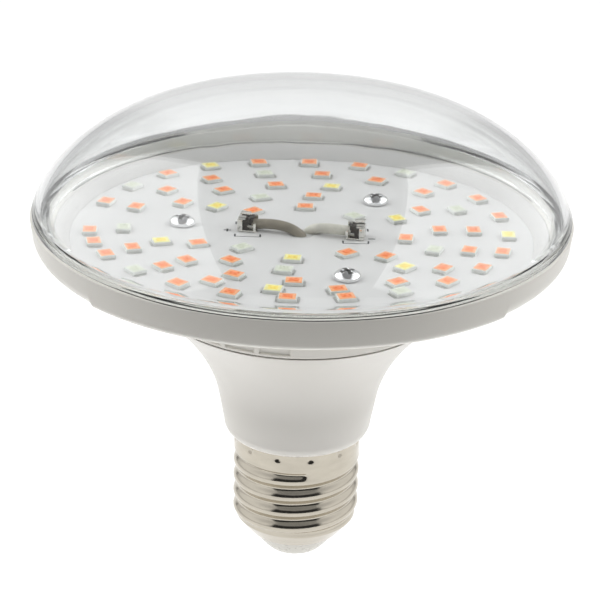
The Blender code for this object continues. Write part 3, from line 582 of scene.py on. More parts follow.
def build_painted_shade_rings_and_plug():
    """Dark rings of painted shade at the neck's foot, under the lip and under the rim's front edge, the white
    slope round the board and the plug in its hole."""
    bead_foot = CAP_TOP_Z - HALF_GAP + 0.02 * MM
    bead_top = CAP_TOP_Z + HALF_GAP - 0.02 * MM
    bead_inner = NECK_PAINTED_SHADE_RADIUS - 1.2 * MM
    bead = [(NECK_PAINTED_SHADE_RADIUS, bead_top), (NECK_PAINTED_SHADE_RADIUS, bead_foot), (bead_inner, bead_foot), (bead_inner, bead_top)]
    # One near-black look for the three rings of painted shade in the joints and under the edges
    look = Look("painted_shade_bead", (0.035, 0.033, 0.03), 0.5).mottle(0.2, 600.0).scuff(0.1, 600.0)
    dress(lathe("neck_painted_shade_ring", eased(bead, 0.05 * MM), NECK_STEPS), look.material, "white_plastic")
    # Ring of painted shade under the lip, seen through the clear cover
    inner = LIP_RADIUS - LIP_WALL - 0.1 * MM
    lip_foot = JOINT_Z + HALF_GAP - LIP_DEPTH
    outer = inner + LIP_PAINTED_SHADE_WIDTH
    bead = [(inner, lip_foot - 0.03 * MM), (inner, CHANNEL_Z + 0.02 * MM), (outer, CHANNEL_Z + 0.02 * MM),
            (outer, lip_foot - 0.03 * MM)]

    def thin(azimuth, index, radius, z):
        rear = smoothstep(*LIP_PAINTED_SHADE_RISE, min(azimuth, 360 - azimuth))
        share = LIP_PAINTED_SHADE_LOW + LIP_PAINTED_SHADE_GAIN * rear
        for middle, half_sweep in LIP_PAINTED_SHADE_SWELLS:
            share += LIP_PAINTED_SHADE_SWELL * max(1 - ((azimuth - middle) / half_sweep) ** 2, 0)
        return radius, CHANNEL_Z + (z - CHANNEL_Z) * share - LIP_PAINTED_SHADE_SUNK * (1 - rear)

    dress(lathe("lip_painted_shade_ring", bead, DISC_STEPS, shape=thin), look.material, "white_plastic")
    # Line of painted shadow under the rim's edge, sunk out of sight away from the front
    line_top = JOINT_Z - 0.08 * MM
    line = [(RIM_RADIUS - 0.16 * MM, line_top), (RIM_RADIUS - 0.1 * MM, line_top - RIM_PAINTED_SHADE_HEIGHT),
            (RIM_RADIUS - 0.4 * MM, line_top - RIM_PAINTED_SHADE_HEIGHT), (RIM_RADIUS - 0.4 * MM, line_top)]

    def fade(azimuth, index, radius, z):
        sunk = smoothstep(*RIM_PAINTED_SHADE_FADE, min(azimuth, 360 - azimuth))
        return radius - RIM_PAINTED_SHADE_SUNK * sunk, z

    dress(lathe("rim_painted_shade_line", line, DISC_STEPS, shape=fade), look.material, "white_plastic")
    foot_z = BOARD_TOP_Z + 0.03 * MM
    seat = BOARD_RADIUS + 0.2 * MM
    ring_top = CHANNEL_Z - 0.03 * MM
    ring = [(seat, ring_top), (seat - 0.25 * MM, ring_top), (RING_FOOT_RADIUS, foot_z), (seat, foot_z)]
    white = Look("ring_white", (0.52, 0.51, 0.50), 0.4).mottle(0.02, 60.0).scuff(0.06, 200.0)
    dress(lathe("board_ring", eased(ring, 0.06 * MM), DISC_STEPS), white.material, "white_plastic")
    plug_top = BOARD_TOP_Z - 0.02 * MM
    plug_foot = plug_top - 0.7 * MM
    plug = [(0.0, plug_top), (2.2 * MM, plug_top), (PLUG_RADIUS, plug_top - 0.1 * MM),
            (PLUG_RADIUS, plug_foot), (0.0, plug_foot)]
    dress(lathe("hole_plug", plug, NECK_STEPS, closed=False), white.material, "board_white")


def cone_radius(z):
    """Outer radius of the plain cone at the foot of the cap."""
    share = (z - CAP_FOOT_Z) / (CONE_TOP_Z - CAP_FOOT_Z)
    return CONE_FOOT_RADIUS + (CONE_TOP_RADIUS - CONE_FOOT_RADIUS) * share


def dimple(azimuth, z):
    """How far the nearest crimp dimple presses the band inward."""
    pitch = 360 / DIMPLE_COUNT
    offset = (azimuth - DIMPLE_AZIMUTH + pitch / 2) % pitch - pitch / 2
    distance = math.hypot(math.radians(offset) * BAND_RADIUS, z - (CAP_TOP_Z - DIMPLE_DROP))
    return DIMPLE_DEPTH * (1 - smoothstep(0, DIMPLE_RADIUS, distance))


def cap_surface(azimuth, z):
    """Outer radius of the cap: smooth band, rolled helix, plain cone."""
    first_crest = CAP_TOP_Z - THREAD_FIRST_CREST
    thread_top = CAP_TOP_Z - THREAD_START
    turn = (azimuth + 180) % 360 - 180
    phase = (z - first_crest) / THREAD_PITCH - turn / 360
    helix = THREAD_ROOT + THREAD_DEPTH * ((1 + math.cos(math.tau * phase)) / 2) ** THREAD_FULLNESS
    in_band = smoothstep(thread_top - THREAD_RUN_IN, thread_top, z)
    past_end = smoothstep(GROOVE_END - GROOVE_FADE, GROOVE_END + GROOVE_FADE, turn)
    in_band = max(in_band, past_end * smoothstep(0.0, 0.12, phase))
    in_cone = 1 - smoothstep(CONE_TOP_Z, CONE_TOP_Z + THREAD_RUN_OUT, z)
    radius = helix * (1 - in_band) + BAND_RADIUS * in_band
    radius = radius * (1 - in_cone) + cone_radius(min(z, CONE_TOP_Z)) * in_cone
    return radius - dimple(azimuth, z)


def build_cap():
    """Thin rolled cap with its helix, its crimp dimples and its cone."""
    rows = 120
    heights = spread(CAP_TOP_Z - HALF_GAP, CAP_FOOT_Z, rows)
    sleeve = [(BAND_RADIUS, z) for z in heights]
    lining = [(BAND_RADIUS - CAP_WALL, z) for z in reversed(heights)]

    def press(azimuth, index, radius, z):
        return cap_surface(azimuth, z) - (BAND_RADIUS - radius), z

    cap = lathe("cap_sleeve", sleeve + lining, CAP_STEPS, shape=press, sharp=50.0)
    look = Look("cap_nickel", (0.53, 0.49, 0.415), 0.13, metallic=1.0)
    look.mottle(0.05, 180.0, (1.0, 1.0, 3.0)).scuff(0.05, 260.0, (1.0, 1.0, 4.0)).grain(0.01 * MM, 900.0)
    return dress(cap, look.material, "cap_nickel", "cap_shell")


def build_insulator():
    """Pale insulator cone under the cap."""
    slack = CAP_WALL + 0.3 * MM
    foot_z = 0.75 * MM
    outer = [(cone_radius(CONE_TOP_Z) - slack, CONE_TOP_Z), (cone_radius(CAP_FOOT_Z) - slack, CAP_FOOT_Z)]
    outer += [(7.4 * MM, 2.8 * MM), (5.55 * MM, foot_z)]
    inner = [(1.6 * MM, foot_z), (1.6 * MM, foot_z + 0.8 * MM), (3.95 * MM, foot_z + 1.6 * MM),
             (cone_radius(CONE_TOP_Z) - slack - 1.6 * MM, CONE_TOP_Z)]
    insulator = lathe("insulator_cone", eased(outer + inner, 0.8 * MM, 4), NECK_STEPS, sharp=60.0)
    look = Look("insulator_glass", (0.31, 0.30, 0.27), 0.3)
    look.mottle(0.03, 300.0).scuff(0.06, 500.0).set(Specular_IOR_Level=0.25)
    return dress(insulator, look.material, "insulator_glass", "cap_insulator")


def build_contact():
    """Contact button with a rounded edge and its rivet."""
    edge = 0.45 * MM
    rivet = 1.3 * MM
    profile = [(0.0, edge + 3.0 * MM), (rivet, edge + 3.0 * MM), (rivet, edge)]
    profile += arc((4.3 * MM - edge, edge), (edge, edge), 0, -90, 6) + [(0.0, 0.0)]
    contact = lathe("contact_button", profile, NECK_STEPS, closed=False)
    look = Look("contact_tin", (0.47, 0.46, 0.43), 0.3, metallic=1.0)
    look.mottle(0.06, 900.0).scuff(0.1, 1500.0).grain(0.02 * MM, 1800.0)
    return dress(contact, look.material, "contact_tin", "centre_contact")


# Rings of packages from the outside in: one letter a place, and where each ring starts
RING_LETTERS = ("oowoooyooowoooyowoooowoo", "yooooowooowooowooo", "o-ywoo-yooo-yoo",
                "w-ooy-owy-oo", "yo-woo-w")
RING_PHASES = (-2.5, -7.5, -1.5, -7.5, -4.5)
OUTER_RING_RADIUS = 41.7 * MM
RING_PITCH = 6.8 * MM
RING_ACROSS = -0.5 * MM
# The outer rings sit a little to the rear, and their front halves are drawn in
SHIFTED_RINGS = 2
RING_REARWARD = 1.2 * MM
SQUEEZED_RINGS = 4
FRONT_SQUEEZE = 0.17
# The close pair at the left edge: ring and place, and its turn along the ring
CLOSE_PAIR = {(0, 18): 9.0, (0, 19): 4.0}
RADIAL_PLACES = ((2, 12), (3, 10), (4, 7))


def light_places():
    """Matrix and letter of each package on the board."""
    places = []
    for ring, letters in enumerate(RING_LETTERS):
        radius = OUTER_RING_RADIUS - RING_PITCH * ring
        rearward = RING_REARWARD * max(1 - ring / SHIFTED_RINGS, 0.0)
        squeeze = FRONT_SQUEEZE * max(1 - ring / SQUEEZED_RINGS, 0.0)
        for index, letter in enumerate(letters):
            if letter == "-":
                continue
            azimuth = RING_PHASES[ring] + 360 / len(letters) * index + CLOSE_PAIR.get((ring, index), 0.0)
            angle = math.radians(azimuth)
            depth = radius * (1 - squeeze) if math.cos(angle) > 0 else radius
            x = RING_ACROSS + radius * math.sin(angle)
            y = rearward - depth * math.cos(angle)
            turn = math.atan2(x, -y) + (math.pi / 2 if (ring, index) in RADIAL_PLACES else 0.0)
            places.append((Matrix.Translation((x, y, BOARD_TOP_Z)) @ Matrix.Rotation(turn, 4, 'Z'), letter))
    return places


def build_packages():
    """Bodies, end pads and coloured windows of the light-emitting packages."""
    bodies = bmesh.new()
    pads = bmesh.new()
    windows = {letter: bmesh.new() for letter in "oyw"}
    dishes = {letter: bmesh.new() for letter in "oyw"}
    window_size = (PACKAGE_LENGTH - 2 * WINDOW_MARGIN, PACKAGE_WIDTH - 2 * WINDOW_MARGIN, 0.12 * MM)
    for matrix, letter in light_places():
        middle = matrix @ Matrix.Translation((0, 0, PACKAGE_HEIGHT / 2 + 0.02 * MM))
        add_box(bodies, (PACKAGE_LENGTH, PACKAGE_WIDTH, PACKAGE_HEIGHT), middle, 0.08 * MM)
        top = matrix @ Matrix.Translation((0, 0, PACKAGE_HEIGHT + 0.04 * MM))
        add_box(windows[letter], window_size, top, 0.05 * MM)
        dish_size = (window_size[0] * DISH_SHARE, window_size[1] * DISH_SHARE, window_size[2])
        add_box(dishes[letter], dish_size, top @ Matrix.Translation((0, 0, 0.02 * MM)), 0.05 * MM)
        for side in (-1, 1):
            end = Matrix.Translation((side * PACKAGE_LENGTH / 2, 0, 0.09 * MM))
            add_box(pads, (PAD_REACH * 2, PACKAGE_WIDTH * 0.82, 0.18 * MM), matrix @ end, 0.06 * MM)
    body_look = Look("package_body", (0.72, 0.73, 0.70), 0.4).mottle(0.05, 1500.0).scuff(0.1, 2500.0)
    dress(from_bmesh(bodies, "package_bodies"), body_look.material, "board_white")
    pad_look = Look("solder", (0.62, 0.62, 0.60), 0.35, metallic=1.0).mottle(0.1, 2500.0).scuff(0.15, 3000.0)
    dress(from_bmesh(pads, "package_pads"), pad_look.material, "board_white")
    colours = {
        "o": ("red", (0.97, 0.42, 0.20), (0.93, 0.23, 0.06)),
        "y": ("warm", (0.90, 0.84, 0.36), (0.93, 0.74, 0.15)),
        "w": ("cool", (0.70, 0.73, 0.62), (0.62, 0.65, 0.52)),
    }
    for letter, (word, pale, deep) in colours.items():
        for shapes, part, colour in ((windows, "windows", pale), (dishes, "dishes", deep)):
            look = Look(f"{part}_{word}", colour, 0.3).mottle(0.08, 700.0).scuff(0.1, 2000.0)
            dress(from_bmesh(shapes[letter], f"package_{part}_{word}"), look.material, "board_white")


def build_board():
    """White board with a wire hole, its packages and printed marks."""
    edge = BOARD_RADIUS - 0.1 * MM
    profile = [(edge, BOARD_TOP_Z), (edge, BOARD_FOOT_Z), (HOLE_RADIUS, BOARD_FOOT_Z), (HOLE_RADIUS, BOARD_TOP_Z)]
    board = lathe("board_plate", eased(profile, 0.1 * MM), DISC_STEPS)
    look = Look("board_white", (0.68, 0.67, 0.665), 0.35)
    look.mottle(0.02, 60.0).scuff(0.06, 200.0).grain(0.01 * MM, 500.0)
    dress(board, look.material, "board_white", "led_board")
    build_packages()
    build_marks()


def build_marks():
    """Polarity signs and the corner lines printed round the two terminals."""
    bm = bmesh.new()
    ink = 0.03 * MM
    line = 0.32 * MM

    def stroke(x, y, length, azimuth=0.0, width=line):
        turn = Matrix.Rotation(math.radians(azimuth), 4, 'Z')
        centre = Matrix.Translation((x * MM, y * MM, BOARD_TOP_Z + ink / 2))
        add_box(bm, (length * MM, width, ink), centre @ turn)

    stroke(-14.8, 0.9, 1.5)
    stroke(-14.8, 0.9, 1.5, 90.0)
    stroke(13.9, -2.2, 1.4)
    for sign, middle in ((-1, -0.2), (1, -2.6)):
        for x in (8.2, 13.2):
            stroke(sign * x, middle - 1.5, 1.3, 90.0)
            stroke(sign * x, middle + 5.2, 1.3, 90.0)
        stroke(sign * 10.7, middle - 2.2, 5.2, 0.0, line * 0.5)
        stroke(sign * 10.7, middle + 5.9, 5.2, 0.0, line * 0.5)
    look = Look("board_ink", (0.03, 0.03, 0.035), 0.5).mottle(0.3, 900.0)
    dress(from_bmesh(bm, "board_marks"), look.material, "board_white")


def build_screws():
    """Pan-head screws with a cross recess, and a dark cross of painted shade inside each recess."""
    head_radius = 2.6 * MM
    head_height = 1.7 * MM
    shank = 1.45 * MM
    length = 6.0 * MM
    seat = 0.1 * MM
    recess_size = (2.9 * MM, 0.95 * MM, 1.7 * MM)
    arm_size = (2.8 * MM, 0.88 * MM, 0.5 * MM)
    arm_drop = 0.42 * MM
    profile = arc((0.0, seat + 0.3 * MM), (head_radius, head_height - 0.3 * MM), 90, 0, 12)
    profile[0] = (0.0, profile[0][1])
    profile += [(head_radius, seat + 0.1 * MM), (head_radius - 0.1 * MM, seat), (shank, seat),
                (shank, shank - length), (0.65 * MM, -length), (0.0, -length)]
    pattern = lathe("screw_pattern", profile, 64, closed=False)
    recess = bmesh.new()
    for turn in (0.0, 90.0):
        matrix = Matrix.Translation((0, 0, seat + head_height)) @ Matrix.Rotation(math.radians(turn), 4, 'Z')
        add_box(recess, recess_size, matrix)
    cutter = from_bmesh(recess, "screw_recess")
    cutter.data.update()
    cut = pattern.modifiers.new("recess", 'BOOLEAN')
    cut.object = cutter
    cut.operation = 'DIFFERENCE'
    cut.solver = 'EXACT'
    cut.use_self = True
    graph = bpy.context.evaluated_depsgraph_get()
    mesh = bpy.data.meshes.new_from_object(pattern.evaluated_get(graph))
    bpy.data.objects.remove(pattern)
    bpy.data.objects.remove(cutter)
    look = Look("screw_steel", (0.74, 0.74, 0.75), 0.2, metallic=1.0)
    look.mottle(0.05, 1200.0).scuff(0.08, 1600.0).grain(0.01 * MM, 2500.0)
    mesh.materials.clear()
    mesh.materials.append(look.material)
    # Dark crosses set in the recesses: painted shade in the cross recess
    crosses = bmesh.new()
    for number in (1, 2, 3):
        low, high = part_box(f"board_screw_{number}")
        screw = bpy.data.objects.new(f"pan_screw_{number}", mesh)
        screw.location = ((low.x + high.x) / 2, (low.y + high.y) / 2, BOARD_TOP_Z)
        screw.rotation_euler.z = math.radians(25 * number)
        bpy.context.scene.collection.objects.link(screw)
        ride(screw, "screw_steel", f"board_screw_{number}")
        floor_place = Matrix.Translation(screw.location + Vector((0, 0, seat + head_height - arm_drop)))
        for turn in (25 * number, 25 * number + 90):
            arm = floor_place @ Matrix.Rotation(math.radians(turn), 4, 'Z')
            add_box(crosses, arm_size, arm, 0.08 * MM)
    dark = Look("recess_painted_shade", (0.045, 0.043, 0.04), 0.4).mottle(0.2, 2000.0).scuff(0.1, 2000.0)
    dress(from_bmesh(crosses, "screw_recess_painted_shade"), dark.material, "screw_steel")


def build_leads():
    """Two insulated leads from the terminals down the middle hole."""
    sides = (
        ("left", -1, (0.2 * MM, -1.0 * MM), (0.23, 0.205, 0.16)),
        ("right", 1, (0.9 * MM, 1.05 * MM), (0.62, 0.60, 0.53)),
    )
    for side, sign, end, colour in sides:
        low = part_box(f"lead_wire_{side}")[0]
        wire_z = BOARD_TOP_Z + 1.4 * MM
        mouth = Vector((sign * 8.6 * MM, sign * -1.2 * MM, wire_z))
        start = mouth + Vector((sign * 1.2 * MM, sign * -0.2 * MM, 0.0))
        brink = Vector((*end, BOARD_TOP_Z - 0.6 * MM))
        foot = Vector((*end, low.z))
        reach = (mouth - brink).length
        leave = mouth + Vector((-sign * reach * 0.45, 0.0, 0.35 * MM))
        arrive = brink + Vector((sign * reach * 0.16, 0.0, reach * 0.24))
        path = [start, mouth]
        for t in spread(0, 1, 24)[1:]:
            s = 1 - t
            path.append(mouth * s ** 3 + leave * (3 * s * s * t) + arrive * (3 * s * t * t) + brink * t ** 3)
        path += [brink.lerp(foot, 0.3), foot]
        lead = tube(f"lead_{side}_insulation", path, 1.05 * MM)
        look = Look(f"lead_{side}", colour, 0.45)
        look.mottle(0.18, 400.0).scuff(0.1, 900.0).grain(0.05 * MM, 900.0)
        dress(lead, look.material, f"lead_{side}", f"lead_wire_{side}")


def build_terminals():
    """Folded metal cages, each with a dark block and fold inside: painted shade in the cage where a lead's end
    goes.
    """
    metal = Look("terminal_metal", (0.70, 0.69, 0.65), 0.16, metallic=1.0)
    metal.mottle(0.06, 900.0).scuff(0.05, 700.0)
    dark = Look("cage_painted_shade", (0.06, 0.055, 0.05), 0.3, metallic=1.0)
    dark.mottle(0.2, 900.0).scuff(0.1, 900.0)
    length = 3.7 * MM
    width = 3.3 * MM
    height = 3.2 * MM
    sheet = 0.28 * MM
    ease = 0.06 * MM
    for side, sign in (("left", -1), ("right", 1)):
        low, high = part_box(f"wire_terminal_{side}")
        middle = (low + high) / 2
        place = Matrix.Translation((middle.x - sign * 0.3 * MM, middle.y, BOARD_TOP_Z + 0.1 * MM))
        place = place @ Matrix.Rotation(math.radians(-8), 4, 'Z')
        cage = bmesh.new()

        def sheet_at(x, y, z, size, lean=0.0, axis='X'):
            turn = Matrix.Rotation(math.radians(lean), 4, axis)
            add_box(cage, size, place @ Matrix.Translation((sign * x, y, z)) @ turn, ease)

        sheet_at(0, 0, sheet / 2, (length, width, sheet))
        sheet_at(0, width / 2, height * 0.42, (length * 0.9, sheet, height * 0.84))
        sheet_at(length * 0.38, -width / 2, height * 0.4, (length * 0.24, sheet, height * 0.8))
        sheet_at(-length * 0.4, -width / 2, height * 0.3, (length * 0.14, sheet, height * 0.6))
        sheet_at(length / 2, 0, height * 0.4, (sheet, width, height * 0.8))
        sheet_at(length * 0.2, width * 0.34, height * 0.95, (length * 0.55, width * 0.5, sheet), -5.0)
        sheet_at(length * 0.3, -width * 0.3, height * 0.86, (length * 0.4, width * 0.4, sheet), 8.0)
        sheet_at(-length * 0.16, -width * 0.36, height * 0.3, (length * 0.34, sheet, height * 0.26), 35.0)
        shell = from_bmesh(cage, f"terminal_cage_{side}")
        dress(shell, metal.material, "terminal_metal", f"wire_terminal_{side}")
        # Dark block and fold: painted shade inside the cage
        spring = bmesh.new()
        block = place @ Matrix.Translation((sign * length * 0.08, width * 0.06, height * 0.4))
        add_box(spring, (length * 0.72, width * 0.72, height * 0.66), block, 0.3 * MM)
        fold = place @ Matrix.Translation((-sign * length * 0.12, 0, height * 0.74))
        fold = fold @ Matrix.Rotation(sign * 0.5, 4, 'Y')
        add_box(spring, (length * 0.5, width * 0.5, sheet), fold, ease)
        dress(from_bmesh(spring, f"cage_painted_shade_{side}"), dark.material, "terminal_metal")


def dress_inner_nodes():
    """Give the CAD nodes that stay their procedural materials."""
    rows = (
        ("heat_sink_dish", "dish_aluminium", (0.72, 0.73, 0.74), 0.35, 1.0, (0.05, 200.0), (0.1, 300.0)),
        ("driver_board", "driver_laminate", (0.55, 0.42, 0.20), 0.5, 0.0, (0.1, 400.0), (0.1, 300.0)),
        ("smoothing_capacitor", "capacitor_sleeve", (0.03, 0.03, 0.035), 0.4, 0.0, (0.2, 400.0), (0.1, 500.0)),
        ("choke_core", "ferrite", (0.06, 0.06, 0.065), 0.6, 0.0, (0.2, 900.0), (0.1, 900.0)),
        ("choke_winding", "copper_winding", (0.62, 0.28, 0.12), 0.3, 1.0, (0.2, 300.0, (1.0, 1.0, 12.0)), None),
        ("film_capacitor", "film_box", (0.55, 0.09, 0.05), 0.45, 0.0, (0.1, 500.0), (0.1, 500.0)),
        ("bridge_rectifier", "moulded_black", (0.03, 0.03, 0.03), 0.45, 0.0, (0.2, 900.0), (0.1, 900.0)),
    )
    looks = {}
    for node, name, colour, roughness, metallic, mottle, scuff in rows:
        looks[node] = Look(name, colour, roughness, metallic).mottle(*mottle)
        if scuff:
            looks[node].scuff(*scuff)
    insulation = Look("supply_insulation", (0.75, 0.74, 0.70), 0.5).mottle(0.08, 500.0).scuff(0.1, 700.0)
    looks["driver_chip"] = looks["bridge_rectifier"]
    looks["live_wire"] = insulation
    looks["neutral_wire"] = insulation
    for name, look in looks.items():
        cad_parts[name].data.materials.clear()
        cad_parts[name].data.materials.append(look.material)


def white_plastic(name, colour):
    """Satin white moulded plastic."""
    look = Look(name, colour, 0.38)
    look.mottle(0.012, 40.0).scuff(0.05, 120.0).grain(0.012 * MM, 1600.0)
    return look.material


# Camera: the photograph is 600 pixels square
PICTURE = 600
FOCAL_PIXELS = 2209.52
CAMERA_DISTANCE = 440.0 * MM
CAMERA_ELEVATION = 21.5
CAMERA_ROLL = 1.363
DISC_PIXEL = (302.165, 209.276)
SENSOR = 36.0

# Studio
FLOOR_DROP = 130.0 * MM
BOX_AZIMUTH = 98.0
BOX_ELEVATION = 35.0
BOX_DISTANCE = 900.0 * MM
BOX_SIZE = (1.78, 1.05)
BOX_RADIANCE = 0.25
COVER_BOX_RADIANCE = 1.25
FRONT_ELEVATION = 14.0
FRONT_SIZE = (1.75, 0.8)
FRONT_RADIANCE = 0.4
SIDE_BEHIND = 20.0 * MM
SIDE_RADIANCE = 2.4
AMBIENT = 0.03
FLOOR_TONE = 0.3
FLOOR_GLOW = 0.78
# Floor glow seen through the clear cover: lower near the lamp, a painted shadow round it, over this run of
# distances in metres
NEAR_LAMP_SHADE_GLOW = 0.25
NEAR_LAMP_SHADE_GLOW_RUN = (0.15, 0.9)
CEILING_RUN = (0.35, 0.75)
CEILING_TONE = 0.3
DARK_SIDE = 44.0
DARK_FOOT = -0.1
DARK_TOP = 0.56
DARK_EDGE = 0.06
DARK_TONE = 0.05
DARK_ABOVE = 0.0
GAP_SPAN = (134.0, 167.0)
GAP_TOP = 0.56
GAP_SHARE = 0.65
TABLE_RADIUS = 110.0 * MM
TABLE_Z = -60.0 * MM
TABLE_RADIANCE = 3.2
TOP_HEIGHT = 900.0 * MM
TOP_SIZE = 700.0 * MM
TOP_RADIANCE = 1.0


def build_camera():
    """Camera at the place and with the aim of the photograph's."""
    tilt = math.radians(CAMERA_ELEVATION)
    eye = Vector((0.0, -CAMERA_DISTANCE * math.cos(tilt), CAMERA_DISTANCE * math.sin(tilt)))
    forward = -eye.normalized()
    right = Vector((1.0, 0.0, 0.0))
    down = forward.cross(right)
    yaw = math.atan((DISC_PIXEL[0] - PICTURE / 2) / FOCAL_PIXELS)
    pitch = math.atan((DISC_PIXEL[1] - PICTURE / 2) / FOCAL_PIXELS * math.cos(yaw))
    turn = Matrix.Rotation(yaw, 3, 'Y') @ Matrix.Rotation(-pitch, 3, 'X')
    turn = turn @ Matrix.Rotation(math.radians(CAMERA_ROLL), 3, 'Z')
    rows = turn @ Matrix((right, down, forward))
    axes = Matrix((rows[0], -rows[1], -rows[2])).transposed()
    data = bpy.data.cameras.new("camera")
    data.sensor_width = SENSOR
    data.lens = SENSOR * FOCAL_PIXELS / PICTURE
    data.clip_start = 0.01
    camera = bpy.data.objects.new("camera", data)
    camera.matrix_world = Matrix.Translation(eye + Vector((0, 0, JOINT_Z))) @ axes.to_4x4()
    bpy.context.scene.collection.objects.link(camera)
    bpy.context.scene.camera = camera


def largest(tree, sources):
    """The largest of a few values."""
    value = sources[0]
    for source in sources[1:]:
        node = tree.nodes.new('ShaderNodeMath')
        node.operation = 'MAXIMUM'
        tree.links.new(value, node.inputs[0])
        tree.links.new(source, node.inputs[1])
        value = node.outputs[0]
    return value


def build_world():
    """White backdrop for what is seen, and a soft room for what is lit."""
    world = bpy.data.worlds.new("studio")
    bpy.context.scene.world = world
    world.use_nodes = True
    tree = world.node_tree
    tree.nodes.clear()
    paths = tree.nodes.new('ShaderNodeLightPath')
    backdrop = tree.nodes.new('ShaderNodeBackground')
    backdrop.inputs["Color"].default_value = (1.0, 1.0, 1.0, 1.0)
    ambient = tree.nodes.new('ShaderNodeBackground')
    ambient.inputs["Color"].default_value = (1.0, 0.99, 0.97, 1.0)
    ambient.inputs["Strength"].default_value = AMBIENT
    room = tree.nodes.new('ShaderNodeBackground')
    coordinates = tree.nodes.new('ShaderNodeTexCoord')
    split = tree.nodes.new('ShaderNodeSeparateXYZ')
    tree.links.new(coordinates.outputs["Generated"], split.inputs["Vector"])

    def ranged(source, from_low, from_high, to_low, to_high):
        node = tree.nodes.new('ShaderNodeMapRange')
        node.interpolation_type = 'SMOOTHSTEP'
        node.inputs["From Min"].default_value = from_low
        node.inputs["From Max"].default_value = from_high
        node.inputs["To Min"].default_value = to_low
        node.inputs["To Max"].default_value = to_high
        tree.links.new(source, node.inputs["Value"])
        return node.outputs["Result"]

    def math_node(operation, first, second=None):
        node = tree.nodes.new('ShaderNodeMath')
        node.operation = operation
        tree.links.new(first, node.inputs[0])
        if second is not None:
            tree.links.new(second, node.inputs[1])
        return node.outputs[0]

    ceiling = ranged(split.outputs["Z"], *CEILING_RUN, 1.0, CEILING_TONE)
    away = math_node('MULTIPLY', split.outputs["Y"])
    away.node.inputs[1].default_value = -1.0
    azimuth = math_node('ABSOLUTE', math_node('ARCTAN2', split.outputs["X"], away))
    side = math.radians(DARK_SIDE)
    beside = ranged(azimuth, side - DARK_EDGE, side + DARK_EDGE, 1.0, 0.0)
    over = ranged(split.outputs["Z"], DARK_TOP - DARK_EDGE, DARK_TOP + DARK_EDGE, 1.0, DARK_ABOVE)
    above_floor = ranged(split.outputs["Z"], DARK_FOOT - DARK_EDGE, DARK_FOOT + DARK_EDGE, 0.0, 1.0)
    dark = math_node('MULTIPLY', math_node('MULTIPLY', beside, over), above_floor)
    gap_start, gap_end = (math.radians(azimuth_limit) for azimuth_limit in GAP_SPAN)
    past_box = ranged(azimuth, gap_start - DARK_EDGE, gap_start + DARK_EDGE, 0.0, GAP_SHARE)
    before_rear = ranged(azimuth, gap_end - DARK_EDGE, gap_end + DARK_EDGE, 1.0, 0.0)
    below_top = ranged(split.outputs["Z"], GAP_TOP - DARK_EDGE, GAP_TOP + DARK_EDGE, 1.0, 0.0)
    gap = math_node('MULTIPLY', math_node('MULTIPLY', past_box, before_rear),
                    math_node('MULTIPLY', below_top, above_floor))
    dark = math_node('MAXIMUM', dark, gap)
    open_share = ranged(dark, 0.0, 1.0, 1.0, DARK_TONE)
    open_share.node.interpolation_type = 'LINEAR'
    front = math_node('MULTIPLY', ceiling, open_share)
    strength = tree.nodes.new('ShaderNodeMix')
    tree.links.new(paths.outputs["Is Transmission Ray"], strength.inputs["Factor"])
    tree.links.new(front, strength.inputs["A"])
    tree.links.new(ceiling, strength.inputs["B"])
    tree.links.new(strength.outputs["Result"], room.inputs["Strength"])
    indirect = tree.nodes.new('ShaderNodeMixShader')
    mirrored = largest(tree, [paths.outputs["Is Glossy Ray"], paths.outputs["Is Transmission Ray"]])
    tree.links.new(mirrored, indirect.inputs["Fac"])
    tree.links.new(ambient.outputs[0], indirect.inputs[1])
    tree.links.new(room.outputs[0], indirect.inputs[2])
    seen = tree.nodes.new('ShaderNodeMixShader')
    tree.links.new(paths.outputs["Is Camera Ray"], seen.inputs["Fac"])
    tree.links.new(indirect.outputs[0], seen.inputs[1])
    tree.links.new(backdrop.outputs[0], seen.inputs[2])
    output = tree.nodes.new('ShaderNodeOutputWorld')
    tree.links.new(seen.outputs[0], output.inputs["Surface"])


def build_floor():
    """Pale floor that reads as white and keeps the lamp's shadow; seen through the clear cover its glow is lower
    near the lamp, a painted shadow.
    """
    bm = bmesh.new()
    bmesh.ops.create_grid(bm, x_segments=8, y_segments=8, size=3.0)
    floor = from_bmesh(bm, "studio_floor")
    floor.location.z = -FLOOR_DROP
    look = Look("studio_floor", (FLOOR_TONE, FLOOR_TONE, FLOOR_TONE), 0.7)
    look.mottle(0.004, 2.0)
    paths = look.tree.nodes.new('ShaderNodeLightPath')
    glow = look.tree.nodes.new('ShaderNodeEmission')
    distance = look.tree.nodes.new('ShaderNodeVectorMath')
    distance.operation = 'LENGTH'
    look.link(look.coordinates.outputs["Object"], distance.inputs[0])
    # Painted shadow: the floor's glow through the cover falls toward the lamp
    painted_floor_shade = look.ranged(distance.outputs["Value"], NEAR_LAMP_SHADE_GLOW, FLOOR_GLOW, *NEAR_LAMP_SHADE_GLOW_RUN)
    strength = look.tree.nodes.new('ShaderNodeMix')
    look.link(paths.outputs["Is Transmission Ray"], strength.inputs["Factor"])
    strength.inputs["A"].default_value = FLOOR_GLOW
    look.link(painted_floor_shade, strength.inputs["B"])
    look.link(strength.outputs["Result"], glow.inputs["Strength"])
    seen = largest(look.tree, [paths.outputs["Is Camera Ray"], paths.outputs["Is Glossy Ray"],
                               paths.outputs["Is Transmission Ray"]])
    bright = look.tree.nodes.new('ShaderNodeAddShader')
    look.link(look.shader.outputs["BSDF"], bright.inputs[0])
    look.link(glow.outputs[0], bright.inputs[1])
    mix = look.tree.nodes.new('ShaderNodeMixShader')
    look.link(seen, mix.inputs["Fac"])
    look.link(look.shader.outputs["BSDF"], mix.inputs[1])
    look.link(bright.outputs[0], mix.inputs[2])
    look.link(mix.outputs[0], look.output.inputs["Surface"])
    floor.data.materials.append(look.material)


